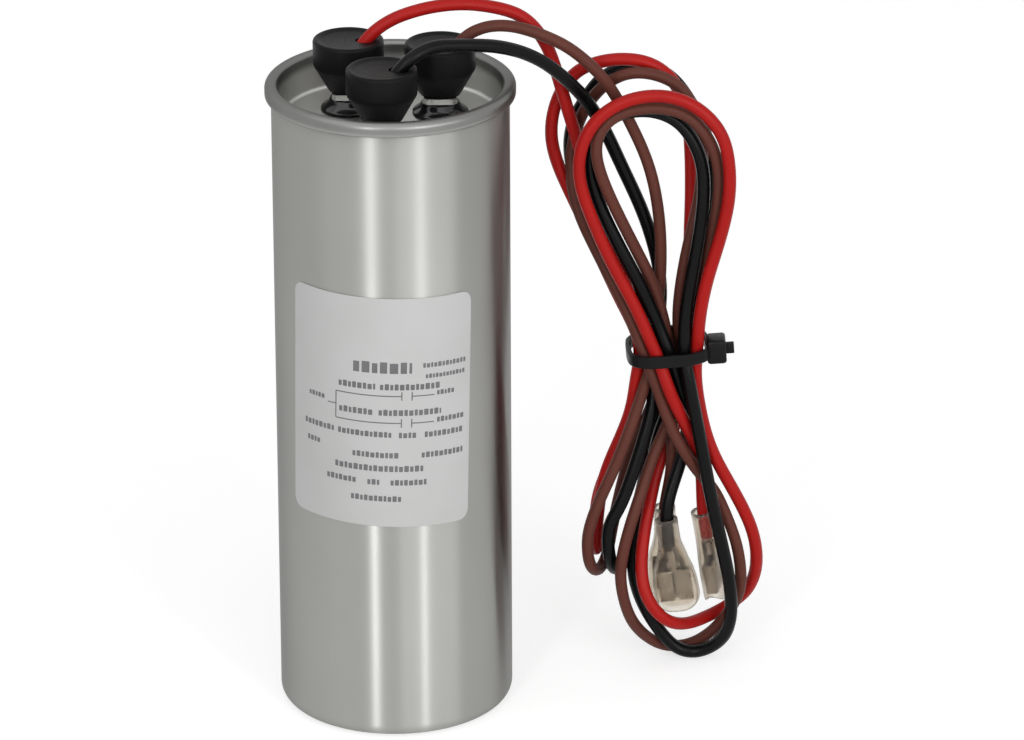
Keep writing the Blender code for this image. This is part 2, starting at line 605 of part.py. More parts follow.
def thinned(line, longest, sharpest):
    """Keeps a point wherever the line has run or turned far enough."""
    kept = [line[0]]
    run = 0.0
    first = (line[1] - line[0]).normalized()
    for k in range(1, len(line) - 1):
        run += (line[k] - line[k - 1]).length
        along = (line[k + 1] - line[k]).normalized()
        turn = math.degrees(first.angle(along, 0.0))
        if run >= longest or turn >= sharpest:
            kept.append(line[k])
            run = 0.0
            first = along
    kept.append(line[-1])
    return kept


def tube(name, group, line, diameter, material):
    curve = bpy.data.curves.new(name, "CURVE")
    curve.dimensions = "3D"
    curve.bevel_depth = diameter / 2 * MM
    curve.bevel_resolution = 2
    curve.use_fill_caps = True
    spline = curve.splines.new("POLY")
    spline.points.add(len(line) - 1)
    for place, point in zip(spline.points, line):
        place.co = (point[0] * MM, point[1] * MM, point[2] * MM, 1.0)
    return settle(bpy.data.objects.new(name, curve), group, material, None)


def build_wire(lead, group, material):
    thick = WIRE_DIAMETERS[lead]
    line = thinned(smooth_route(whole_route(lead), 10), ROUTE_SPACING, ROUTE_TURN)
    tube("wire_" + lead, group, line, thick, material)


def connector_matrix(lead):
    """Axes of a connector: x across its width, y through it and z down to its mouth."""
    neck, mouth, wide = (Vector(v) for v in CONNECTORS[lead])
    down = (mouth - neck).normalized()
    across = (wide - down * wide.dot(down)).normalized()
    turn = Matrix((across, down.cross(across), down)).transposed().to_4x4()
    return Matrix.Translation(neck * MM) @ turn


def sleeve_section(half_width, half_depth, flatness, count):
    """An oval that grows broader sides as flatness goes from 0 to 1."""
    power = 1.0 - 0.3 * flatness
    out = []
    for k in range(count):
        turn = 2 * math.pi * k / count
        c = math.cos(turn)
        s = math.sin(turn)
        u = half_width * math.copysign(abs(c) ** power, c)
        v = half_depth * math.copysign(abs(s) ** power, s)
        out.append((u, v))
    return out


def build_sleeve(lead, group, material, parent):
    """Open-ended sleeve: a loft from a round neck to a flat wide mouth, with an even wall."""
    count = 20
    points = []
    for run, wide, deep in SLEEVE_SECTIONS:
        flatness = min(1.0, max(0.0, (run - 6.5) / 5.0))
        for u, v in sleeve_section(wide, deep, flatness, count):
            points.append((u * MM, v * MM, run * MM))
    faces = []
    for level in range(len(SLEEVE_SECTIONS) - 1):
        for k in range(count):
            n = (k + 1) % count
            low = level * count
            faces.append((low + k, low + n, low + count + n, low + count + k))
    mesh = bpy.data.meshes.new("sleeve_" + lead)
    mesh.from_pydata(points, [], faces)
    mesh.shade_smooth()
    sleeve = settle(bpy.data.objects.new("sleeve_" + lead, mesh), group, material, parent)
    wall = sleeve.modifiers.new("wall", "SOLIDIFY")
    wall.thickness = SLEEVE_WALL * MM
    wall.offset = -1.0


def build_receptacle(lead, group, cutters, material, parent):
    """Push-on receptacle: curled body, narrow bridge and crimped barrel."""
    depth = PUSH_ON_HALF_DEPTH
    section = curled_section(PUSH_ON_HALF_WIDTH, depth, PUSH_ON_SHEET, 0.5)
    name = "receptacle_" + lead
    body = flat_piece(name, group, [section], PUSH_ON_LENGTH, material, parent)
    body.location = (0.0, 0.0, (PUSH_ON_START + PUSH_ON_LENGTH / 2) * MM)
    body = as_mesh(body)
    half = BRIDGE_WIDTH / 2
    crimp_end = CRIMP_START + CRIMP_LENGTH
    bridge = box(
        "bridge_" + lead, cutters, (-half, -depth, crimp_end - 1.0),
        (half, PUSH_ON_SHEET * 2 - depth, PUSH_ON_START + 0.6), None, parent,
    )
    combine(body, bridge, "UNION")
    barrel = rod(
        "crimp_" + lead, cutters, (0, 0, CRIMP_START), (0, 0, crimp_end), CRIMP_RADIUS, 12, None, parent
    )
    combine(body, barrel, "UNION")
    groove = box(
        "groove_" + lead, cutters, (-0.25, CRIMP_RADIUS * 0.66, CRIMP_START - 1.0),
        (0.25, CRIMP_RADIUS + 1.0, crimp_end + 1.0), None, parent,
    )
    combine(body, groove, "DIFFERENCE")


def offset_loop(loop, distance):
    """Moves a closed outline outward by one distance."""
    count = len(loop)
    area = 0.0
    for k in range(count):
        a = loop[k]
        b = loop[(k + 1) % count]
        area += a[0] * b[1] - b[0] * a[1]
    sign = 1.0 if area > 0 else -1.0
    out = []
    for k in range(count):
        before = Vector(loop[k]) - Vector(loop[k - 1])
        after = Vector(loop[(k + 1) % count]) - Vector(loop[k])
        first = Vector((before.y, -before.x)).normalized() * sign
        second = Vector((after.y, -after.x)).normalized() * sign
        middle = (first + second).normalized()
        out.append(tuple(Vector(loop[k]) + middle * (distance / max(0.5, middle.dot(first)))))
    return out


def build_cable_tie(group, cutters, material):
    """Strap round the bundle, bevelled head and the cut tail that leaves it."""
    outer = offset_loop(TIE_LOOP, TIE_SHEET)
    strap = flat_piece("cable_tie", group, [outer, TIE_LOOP], TIE_WIDTH, material)
    strap.location = (0.0, 0.0, TIE_MIDDLE * MM)
    strap = as_mesh(strap)
    x, y = TIE_HEAD_PLACE
    a, b, c = (size / 2 for size in TIE_HEAD_SIZE)
    low = (x - a, y - b, TIE_MIDDLE - c)
    high = (x + a, y + b, TIE_MIDDLE + c)
    head = box("tie_head", cutters, low, high)
    bevel = head.modifiers.new("bevel", "BEVEL")
    bevel.width = TIE_HEAD_BEVEL * MM
    bevel.segments = 1
    combine(strap, head, "UNION")
    d = TIE_SHEET / 2
    e = TIE_WIDTH / 2 - 0.1
    low = (x, y - d, TIE_MIDDLE - e)
    high = (x + a + TIE_TAIL_LENGTH, y + d, TIE_MIDDLE + e)
    tail = box("tie_tail", cutters, low, high)
    combine(strap, tail, "UNION")
    centre = Matrix.Translation(Vector((*TIE_CENTRE, TIE_MIDDLE)) * MM)
    turn = centre @ Matrix.Rotation(math.radians(-TIE_TILT), 4, "Y") @ centre.inverted()
    bpy.context.view_layer.update()
    for item in (strap, head, tail):
        item.matrix_world = turn @ item.matrix_world


def ring(name, group, inner, outer, low, high, sides, material):
    profile = [(outer, high), (outer, low), (inner, low), (inner, high)]
    return turned(name, group, profile, sides, material, closed=True)


def build_inner_pieces(group, cutters, film, paper, plastic, metal):
    """The wound roll and what holds and joins it, all sealed in the can."""
    can_inside = CAN_RADIUS - CAN_WALL
    cup = can_inside - CAN_CORNER + CAN_WALL
    low = CAN_FLOOR + CLEARANCE
    top = low + INNER_SHEET
    profile = [(0.0, top), (cup, top), (cup, low), (0.0, low)]
    turned("bottom_insulator", group, profile, 48, plastic)
    liner_outer = can_inside - 2 * CLEARANCE
    liner_low = CAN_FLOOR + CAN_CORNER - CAN_WALL + 1.0
    roll_low = top + CLEARANCE
    roll_top = PANEL_UNDER - HEAD_SPACE
    ring("liner", group, liner_outer - LINER_SHEET, liner_outer, liner_low, roll_top + 2, 48, paper)
    roll = liner_outer - LINER_SHEET - WINDING_GAP / 2
    main_top = roll_low + (roll_top - roll_low) * MAIN_SHARE
    bore = MANDREL_RADIUS + CLEARANCE
    ring("winding_main", group, bore, min(roll, cup + 0.4), roll_low, main_top, 48, film)
    spacer_low = main_top + CLEARANCE
    spacer_top = spacer_low + SPACER_HEIGHT
    ring("spacer", group, bore, roll, spacer_low, spacer_top, 48, plastic)
    fan_low = spacer_top + CLEARANCE
    ring("winding_fan", group, bore, roll, fan_low, roll_top, 48, film)
    ring("mandrel", group, MANDREL_BORE, MANDREL_RADIUS, roll_low, roll_top, 20, plastic)
    plate_top = PANEL_UNDER - INTERRUPTER_BELOW
    plate_low = plate_top - INTERRUPTER_SHEET
    wide = can_inside - 3 * CLEARANCE
    profile = [(0.0, plate_top), (wide, plate_top), (wide, plate_low), (0.0, plate_low)]
    plate = turned("interrupter_plate", group, profile, 48, plastic)
    for lead in TERMINAL_ANGLES:
        x, y, _ = terminal_place(lead)
        radius = INNER_LEAD_DIAMETER / 2 + CLEARANCE + 0.1
        low = (x, y, plate_low - 1)
        hole = rod("plate_hole_" + lead, cutters, low, (x, y, plate_top + 1), radius, 12)
        combine(plate, hole, "DIFFERENCE")
        start = roll_top + CLEARANCE
        end = PANEL_TOP - STEM_BELOW - CLEARANCE
        line = [(x * 0.8, y * 0.8, start), (x * 0.84, y * 0.84, start + 1.0)]
        line += [(x, y, plate_low - 1.0), (x, y, end)]
        tube("inner_lead_" + lead, group, line, INNER_LEAD_DIAMETER, metal)


def main():
    for item in list(bpy.data.objects):
        bpy.data.objects.remove(item, do_unlink=True)
    group = make_collection("dual_run_capacitor")
    cutters = make_collection("cutters")
    aluminium = principled("aluminium", (0.62, 0.62, 0.6), 0.32, 1.0)
    tinned = principled("tinned_metal", (0.7, 0.68, 0.63), 0.3, 1.0)
    black_plastic = principled("black_plastic", (0.015, 0.015, 0.016), 0.3)
    boot_vinyl = principled("boot_vinyl", (0.02, 0.02, 0.021), 0.5)
    label_sheet = principled("label_sheet", (0.62, 0.62, 0.62), 0.4)
    clear_vinyl = principled("clear_vinyl", (0.8, 0.8, 0.78), 0.15, 0.0, 0.7)
    tie_nylon = principled("tie_nylon", (0.012, 0.012, 0.013), 0.4)
    gasket_rubber = principled("gasket_rubber", (0.03, 0.03, 0.03), 0.7)
    film = principled("metallised_film", (0.7, 0.68, 0.6), 0.35, 0.3)
    inner_plastic = principled("inner_plastic", (0.75, 0.74, 0.7), 0.5)
    liner_film = principled("liner_film", (0.55, 0.5, 0.4), 0.6)

    build_can(group, aluminium)
    build_cover(group, cutters, aluminium)
    build_gasket(group, gasket_rubber)
    build_label(group, label_sheet)
    for lead in TERMINAL_ANGLES:
        matrix = Matrix.Translation(terminal_place(lead) * MM)
        place = place_holder("terminal_place_" + lead, group, matrix)
        build_insulator(lead, group, black_plastic, place)
        build_terminal(lead, group, cutters, tinned, place)
        build_flag_receptacle(lead, group, cutters, tinned, place)
        build_boot(lead, group, cutters, boot_vinyl, place)
        insulation = principled("insulation_" + lead, WIRE_COLOURS[lead], 0.35)
        build_wire(lead, group, insulation)
        place = place_holder("connector_place_" + lead, group, connector_matrix(lead))
        build_receptacle(lead, group, cutters, tinned, place)
        build_sleeve(lead, group, clear_vinyl, place)
    build_cable_tie(group, cutters, tie_nylon)
    build_inner_pieces(group, cutters, film, liner_film, inner_plastic, tinned)


main()
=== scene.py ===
"""Looks of the dual run capacitor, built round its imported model."""

import math

import bmesh
import bpy
from mathutils import Matrix, Vector


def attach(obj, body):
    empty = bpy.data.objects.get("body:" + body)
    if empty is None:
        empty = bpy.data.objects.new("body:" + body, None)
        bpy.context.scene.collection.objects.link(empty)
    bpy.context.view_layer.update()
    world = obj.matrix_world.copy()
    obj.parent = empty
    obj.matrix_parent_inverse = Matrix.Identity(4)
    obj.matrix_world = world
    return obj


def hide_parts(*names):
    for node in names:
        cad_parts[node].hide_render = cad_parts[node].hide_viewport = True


MM = 0.001
LEADS = ("red", "brown", "black")

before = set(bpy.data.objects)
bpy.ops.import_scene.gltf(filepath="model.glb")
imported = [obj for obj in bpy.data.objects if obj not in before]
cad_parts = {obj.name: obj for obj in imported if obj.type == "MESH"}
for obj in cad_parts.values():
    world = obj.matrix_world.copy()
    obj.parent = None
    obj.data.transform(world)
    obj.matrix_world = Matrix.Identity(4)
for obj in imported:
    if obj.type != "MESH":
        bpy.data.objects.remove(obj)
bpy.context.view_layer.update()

# Points that steer the leads, in millimetres
ROUTES = {}
ROUTES["red"] = [
    (-2.9, 7.2, 151.7), (0.4, 7.6, 153.8), (4.5, 8.2, 155.2), (9.5, 9, 156.2), (16, 10, 156.5),
    (22.5, 11.5, 155), (28, 12.5, 153), (32, 13, 148.5), (34.5, 13.5, 143), (36, 14, 137),
    (38, 14, 130), (40.5, 15, 121), (43.5, 16, 109), (47.4, 17.6, 97), (51.6, 18, 85.5),
    (53.1, 17, 78.5), (53.5, 16.2, 74), (53.5, 17.4, 67), (52.7, 20.5, 59), (51, 24.5, 50),
    (48.5, 27, 43.5), (45.5, 28.5, 37.5), (44, 28.5, 31), (44, 26.5, 26), (44, 21, 24),
    (44, 16, 26), (44, 14, 31), (45, 14, 43.5), (48.5, 14, 52), (51.9, 14, 60.5),
    (52.6, 13.5, 68.5), (53.9, 12.4, 75), (52.6, 13.5, 80), (49, 15, 86.5), (44.9, 16.6, 95.5),
    (40, 18, 106.5), (36, 18.5, 115), (34, 18.5, 122), (34.5, 18.5, 128.5), (36.5, 18.5, 134),
    (40, 18, 138.5), (45, 17.5, 140.5), (49.5, 17.5, 141), (54.5, 17.5, 140.5), (59, 17.5, 138),
    (62.5, 17.5, 133), (64, 17.5, 126), (64.5, 17, 117), (64.5, 17, 106.5), (64, 16.5, 93.5),
    (65, 16.6, 82), (65.1, 16.6, 73.5), (64.8, 17.2, 67.5), (63.5, 19.5, 59.5), (60.4, 20.6, 51.5),
    (57.4, 18.8, 44.5), (55.7, 15.6, 37), (54.1, 12, 29.5), (53.7, 8.7, 23), (55.2, 7.3, 17.2),
    (59.4, 7.7, 12), (64, 11.5, 9.8), (67.9, 16.8, 9), (71.5, 19.5, 9.5), (75, 20.5, 11.5),
    (78, 19, 15), (79.5, 16.5, 20.5), (79.5, 14, 27), (78, 12.5, 34), (74, 11.5, 42.5),
    (70.3, 10.6, 49.5), (67.8, 10.6, 56), (66.2, 10.6, 64), (65.4, 10.5, 70.5), (65.8, 10.3, 76),
    (66.2, 8, 85), (67.7, 7, 94), (70.5, 6, 103.5), (72.5, 5, 113), (72.5, 4.5, 120.5),
    (71.5, 4.5, 127), (68.5, 4.5, 132), (63.5, 4.5, 136), (58, 4.5, 137.5), (52, 4.5, 137),
    (46.5, 4.5, 134.5), (42.5, 4.5, 130.5), (40, 4.5, 124.5), (40, 5, 117), (43, 5.5, 108.5),
    (46.8, 6.8, 98.5), (51.7, 7.6, 89), (54.4, 7.8, 82.5), (56.9, 8.2, 76), (58.3, 7.5, 72.5),
    (60, 7, 67), (62.8, 9, 60.5), (65.7, 12, 53), (67.1, 13.9, 47), (67.3, 15, 41), (67.5, 16, 35),
    (68.5, 16.3, 29),
]
ROUTES["brown"] = [
    (16.8, 4.5, 151.6), (19.6, 5, 152.7), (22.5, 6, 152.9), (26.5, 7, 152.3), (31, 8, 150.5),
    (37, 9, 147.5), (41.5, 10, 143.5), (46.5, 11, 138), (51, 13, 128.5), (55, 13.5, 119.5),
    (57, 13.5, 111), (58, 14, 101.5), (58, 15, 91), (57, 15.1, 82.5), (56.7, 13.9, 77.5),
    (56.9, 12.4, 75), (55.1, 11.2, 69.5), (52.7, 10.5, 61.5), (48.8, 9.5, 50.5), (45.2, 9, 42.5),
    (42, 9.5, 34), (41.9, 9.5, 28), (43, 11.5, 23), (45, 16, 21), (46.7, 21, 22.8),
    (47.5, 22.5, 28), (49, 23, 35), (51, 23, 44.5), (54.5, 21.1, 53.5), (57, 19, 62),
    (58.8, 16.2, 68), (60.2, 12.3, 75), (58.4, 12.5, 83.5), (56.4, 12, 91), (53.2, 9.6, 98.5),
    (49, 7.5, 108), (45.3, 5.8, 117), (43.4, 5.5, 124), (44.4, 6, 129), (48, 6, 132.5),
    (53, 6, 134), (58.5, 6, 134), (63.5, 6, 132.5), (67.5, 6, 128), (70, 6.5, 122),
    (70.5, 7.5, 113.5), (69, 9, 104.5), (67.5, 10.5, 94.5), (65.6, 12.4, 83.5), (64.8, 13.2, 75),
    (63.8, 13.8, 69), (61.8, 14.8, 62), (59, 14.5, 55.5), (56, 13, 49), (54, 11, 42.5),
    (52, 9.5, 37), (50, 8.5, 30), (49, 8.5, 23.5), (50, 9.5, 16.5), (52, 12.5, 9.5), (56, 16, 4),
    (60, 18.5, 1.2), (65, 19, 1.2), (70, 17, 5.5), (73.5, 14.5, 11.5), (76, 13.5, 17),
    (76, 12.5, 22.5), (75, 12, 29.5), (72.5, 11.5, 36.5), (70, 11.5, 42.5), (67, 11, 46),
    (64, 9, 51), (60, 9, 58.5), (57.9, 9, 65.5), (56.3, 8.7, 70.5), (53.9, 9.4, 76.5),
    (51.8, 10, 83), (47.8, 11, 91), (43.9, 13, 98.5), (40, 14.5, 106.5), (38.5, 15.8, 113),
    (38.5, 18, 120), (40, 18.5, 126), (42.5, 17.5, 131.5), (46, 16, 136), (50, 15, 138.5),
    (54, 14.5, 139), (58, 14.5, 138), (62, 14, 136), (64.5, 14, 132), (66.5, 13.5, 126),
    (67, 13, 118), (66, 13, 109), (64, 12.5, 101), (62.5, 12, 93), (61.5, 13, 83.5),
    (62.2, 15.4, 74), (61.5, 16.4, 67.5), (61.2, 17.8, 61), (60.5, 17, 53.5), (60.8, 17.2, 46),
    (60, 17.5, 40.5), (59, 18.5, 35), (59, 18.7, 29),
]
ROUTES["black"] = [
    (4.7, -11, 151.8), (7.2, -10, 153), (10, -8.2, 153.6), (16, -5.5, 152.5), (21.5, -2.5, 151.5),
    (27.5, 1, 149), (33, 4.5, 145), (37.5, 7.5, 140), (42, 11, 134), (46, 13.5, 126),
    (49.5, 15, 117), (53.5, 16, 108), (56.5, 17.5, 98.5), (58.5, 18.5, 88), (57.5, 18, 79),
    (56.3, 15.2, 73.5), (56.3, 14, 68.5), (56.8, 12.5, 63.5), (54.4, 11, 55), (51.8, 10, 46.5),
    (49.2, 9.5, 39), (46.5, 9.5, 35), (46.5, 9.5, 29), (47.5, 12, 23), (49.5, 18, 20.5),
    (52, 23.5, 23), (52.5, 26, 29), (54.5, 26.5, 36), (56, 27, 45.5), (57, 26, 54), (58.5, 22, 64),
    (59.3, 18.2, 72.5), (57, 21, 77.5), (52.5, 21.5, 85), (47.5, 21.5, 95), (42.5, 21.5, 104.5),
    (39, 22, 112.5), (38, 22, 119.5), (39, 22, 125.5), (42, 21.5, 131), (45, 21, 135.5),
    (49, 21, 137.4), (53, 21, 138.4), (57, 21, 137.6), (61, 21, 135), (64, 21, 130.4),
    (67, 21, 124.8), (69, 21, 117.5), (69, 20.5, 107), (67.5, 20, 95.5), (66, 19.7, 84),
    (63.8, 19.6, 76.5), (62.3, 18.4, 72.5), (62.4, 19.7, 66), (60.5, 21.5, 59), (57.8, 22.8, 51),
    (56.5, 21.5, 44), (54.5, 19, 36.5), (53, 17, 30.5), (52, 15, 24.5), (52.5, 14, 19),
    (54.5, 14.5, 13), (57.5, 15, 7.5), (61.5, 15.5, 2), (66, 15.5, 1), (70, 14.5, 3), (73, 12.5, 7),
    (74, 10.5, 13), (73.5, 9, 21.5), (71, 8, 33), (69, 7.5, 42.5), (67.5, 7.5, 51), (66, 7.5, 59.5),
    (64.5, 7.5, 67.5), (63.5, 8, 73), (62.9, 8.9, 76), (63.1, 8.8, 84.5), (64.2, 8.2, 92.5),
    (66, 7.5, 103), (67, 7.5, 112), (67, 8, 119.5), (65, 8, 125.5), (61.6, 9, 130),
    (56.5, 8.9, 132.3), (51.5, 9.2, 132.2), (47, 9.3, 130.8), (44, 9, 127), (42.5, 8.3, 124),
    (42.3, 8.3, 119), (44, 8, 112), (48, 7.8, 103), (52.6, 8.3, 94), (55.1, 9.2, 88),
    (57.6, 10, 81.5), (59.8, 9, 76), (61.2, 10.4, 71), (63, 10.9, 64), (64.2, 14.2, 57.5),
    (63.5, 15.7, 50.5), (61.3, 14.2, 44), (59.6, 12.8, 39), (59.5, 12.5, 34.5), (60, 12.5, 28.5),
]
ROUTE_STEPS = 6
WIRE_DIAMETERS = {"red": 2.8, "brown": 2.6, "black": 2.9}

# Camera, fitted to the photograph: its place in metres, its dip and roll in degrees
CAMERA_LENS = 241.26
CAMERA_SENSOR = 36.0
CAMERA_REACH = 20.0
CAMERA_PLACE = (0.0256, -1.36605, 0.65075)
CAMERA_DIP = 22.821
CAMERA_ROLL = -0.235

# Sizes of the can and its cover, in millimetres
CAN_RADIUS = 25.4
CAN_WALL = 0.6
CAN_FLOOR = 0.8
CAN_CORNER = 3.0
CAN_TOP = 140.6
CAN_BANDS = 12
CAN_SIDES = 192
RIM_TOP = 142.7
RIM_RADIUS = 26.75
RIM_CURVE = 1.25
LIP_CURVE = 1.0
LIP_START = 3.0
SKIRT_INNER = 25.7
SKIRT_DEPTH = 3.1
SKIRT_CURVE = 0.7
SINK_OUTER = 24.5
SINK_INNER = 24.0
SINK_CURVE = 1.1
SINK_BEVEL = 0.6
PANEL_TOP = 133.9
PANEL_SHEET = 0.6
CURL_SHEET = 0.9

# Radius and height pairs: the slight hollow under the can, and the panel's edge above its middle
BASE_HOLLOW = [(20.5, 0.12), (19.5, 0.5), (0.0, 0.55)]
PANEL_EDGE = [(0.0, 0.0), (21.9, 0.0), (22.4, 0.05)]

# Label: its sides in degrees round the can, the rest in millimetres
LABEL_LEFT = -54.3
LABEL_RIGHT = 40.2
LABEL_BOTTOM = 50.5
LABEL_HEIGHT = 52.6
LABEL_TILT = 1.5
LABEL_CORNER = 2.5
LABEL_INNER = 25.5
LABEL_SHEET = 0.14
LABEL_FOLD = 1.2

# Rows of small plain blocks where print would be: left end, right end, middle height, block height
PRINT_ROWS = [
    (-8.5, 4.2, 87.3, 2.6),
    (6.6, 16.6, 87.7, 1.1),
    (7.2, 16.4, 85.2, 1.0),
    (-11.8, -3.6, 82.9, 1.4),
    (-2.6, 10.8, 82.9, 1.4),
    (-19.4, -14.9, 78.8, 1.1),
    (9.8, 13.8, 81.2, 1.1),
    (-11.6, -3.8, 77.0, 1.4),
    (-2.8, 10.8, 77.0, 1.4),
    (9.9, 16.4, 75.0, 1.2),
    (-20.6, -12.6, 72.0, 1.3),
    (-11.8, 0.0, 71.9, 1.3),
    (1.6, 5.8, 71.8, 1.3),
    (7.2, 16.4, 71.8, 1.3),
    (-19.8, -16.2, 68.2, 1.2),
    (-8.4, 1.6, 67.1, 1.3),
    (6.6, 16.2, 67.1, 1.3),
    (-12.4, 7.2, 64.0, 1.4),
    (-14.4, -7.6, 60.9, 1.3),
    (-5.0, -2.4, 60.8, 1.3),
    (0.0, 8.0, 60.8, 1.3),
    (-8.6, 2.4, 57.0, 1.3),
]

# Plain strokes of the small circuit sign: both ends of each one
PRINT_STROKES = [
    ((-12.4, 74.6), (-12.4, 80.8)),
    ((-14.4, 77.8), (-12.4, 77.8)),
    ((-12.4, 80.8), (2.0, 80.8)),
    ((-12.4, 74.6), (2.0, 74.6)),
    ((2.1, 79.8), (2.1, 81.8)),
    ((4.3, 79.8), (4.3, 81.8)),
    ((2.1, 73.6), (2.1, 75.6)),
    ((4.3, 73.6), (4.3, 75.6)),
    ((4.3, 80.8), (9.2, 80.8)),
    ((4.3, 74.6), (9.2, 74.6)),
]
PRINT_SHEET = 0.006
PRINT_RADIUS = LABEL_INNER + LABEL_SHEET + 0.004
STROKE_HALF_WIDTH = 0.13
BLOCK_CORNER = 0.12

# Shares of a row's height
BLOCK_WIDTHS = (0.52, 0.66, 0.46, 0.6, 0.7)
BLOCK_HEIGHTS = (1.0, 0.9, 1.0, 0.94, 1.0, 0.88)
BLOCK_GAP = 0.2

# Terminals, collars and boots, with heights from the panel
TERMINAL_CIRCLE = 11.4
TERMINAL_ANGLES = {"red": 142.0, "brown": 22.0, "black": 262.0}
COLLAR_RADIUS = 6.0
COLLAR_NECK_RADIUS = 4.1
COLLAR_NECK_BEVEL = 0.15
COLLAR_TOP = 2.6
COLLAR_UNDER = 0.3
COLLAR_SIDES = 48
BORE_RADIUS = 1.8
SHANK_RADIUS = 3.0
FLANGE_RADIUS = 4.6
FLANGE_TOP = -0.9
FLANGE_UNDER = -2.3
BOOT_RADIUS = 7.6
BOOT_UNDER = 4.4
BOOT_TOP = 15.8
BOOT_CURVE = 0.7
BOOT_SHOULDER = 9.8
BOOT_NECK_RADIUS = 4.4
BOOT_NECK_INNER = 3.75
BOOT_INNER = 6.4
BOOT_ROOF = 14.2
BOOT_SIDES = 72
WIRE_START_SHIFT = 0.8
WIRE_START_HEIGHT = 11.5
WIRE_RISE = 52.0
WIRE_STEP = 2.8
HOLE_CLEARANCE = 0.42
HOLE_MIDDLE = 4.4
HOLE_LENGTH = 7.4
HOLE_SIDES = 40

# The collar's flare: out from the neck and up, then in from the edge and up
COLLAR_FLARE = [(0.25, 1.9), (0.75, 1.2)]
COLLAR_EDGE = [(0.35, 0.8), (0.05, 0.55)]

# The boot's dished top: in from the radius and down from the top
BOOT_DISH = [(BOOT_RADIUS, 0.45), (2.2, 0.45), (1.7, 0.35), (1.2, 0.12), (0.85, 0.0)]

# The boot's shoulder: in from the radius and up from the shoulder
BOOT_BEND = [(0.0, 1.0), (0.06, 0.35), (0.3, -0.15), (0.6, -0.65)]

# Connectors: centre of the neck, centre of the mouth and the way the wide side faces
CONNECTORS = {
    "red": ((67.3, 15.9, 35.4), (70.9, 16.6, 15.2), (0.3, 0.95, 0.0)),
    "brown": ((59.0, 18.4, 35.4), (60.6, 17.9, 15.0), (1.0, 0.12, 0.0)),
    "black": ((59.4, 12.5, 35.0), (62.2, 11.2, 14.8), (1.0, -0.05, 0.0)),
}

# Sections of a clear sleeve: way from the neck, half width and half depth
SLEEVE_SECTIONS = [
    (0.0, 2.5, 2.5),
    (3.0, 2.45, 2.45),
    (6.5, 2.55, 2.5),
    (9.0, 3.4, 2.45),
    (11.5, 4.5, 2.35),
    (15.0, 5.0, 2.3),
    (18.0, 5.15, 2.3),
    (19.8, 5.05, 2.3),
    (21.2, 4.75, 2.25),
]
SLEEVE_WALL = 0.55
SLEEVE_SIDES = 40
SLEEVE_FLAT_START = 6.5
SLEEVE_FLAT_RUN = 5.0
SLEEVE_SQUARENESS = 0.3
SLEEVE_MOUTH_START = 18.0
SLEEVE_MOUTH_RUN = 3.2
SLEEVE_MOUTH_CURVE = 2.0

# Cable tie: the strap's inner line seen from above, then its sizes
TIE_LOOP = [
    (51.5, 15.8), (51.5, 12.6), (51.9, 9.2), (52.8, 7.4), (54.6, 6.4), (56.6, 6.0), (62.8, 6.0),
    (64.8, 6.6), (66.7, 7.6), (67.7, 9.4), (67.7, 12.6), (67.4, 15.8), (67.0, 17.8), (66.2, 20.0),
    (64.6, 21.4), (61.2, 22.0), (57.8, 22.3), (56.0, 21.9), (53.4, 19.8), (51.8, 17.6),
]
TIE_STEPS = 5
TIE_MIDDLE = 75.4
TIE_TILT = 4.0
TIE_CENTRE = (59.5, 13.0)
TIE_WIDTH = 2.7
TIE_SHEET = 1.1
TIE_EDGE = 0.22
TIE_HEAD_PLACE = (70.1, 11.2)
TIE_HEAD_SIZE = (4.2, 5.5, 5.5)
TIE_HEAD_BEVEL = 0.7
TIE_TAIL_LENGTH = 1.75
TIE_TAIL_SHEET = 1.1
TIE_TAIL_WIDTH = TIE_WIDTH - 0.2
TIE_TAIL_BEVEL = 0.18

# Colour sockets of a Mix node
MIX_FIRST = 6
MIX_SECOND = 7
MIX_RESULT = 2


# Helpers for materials

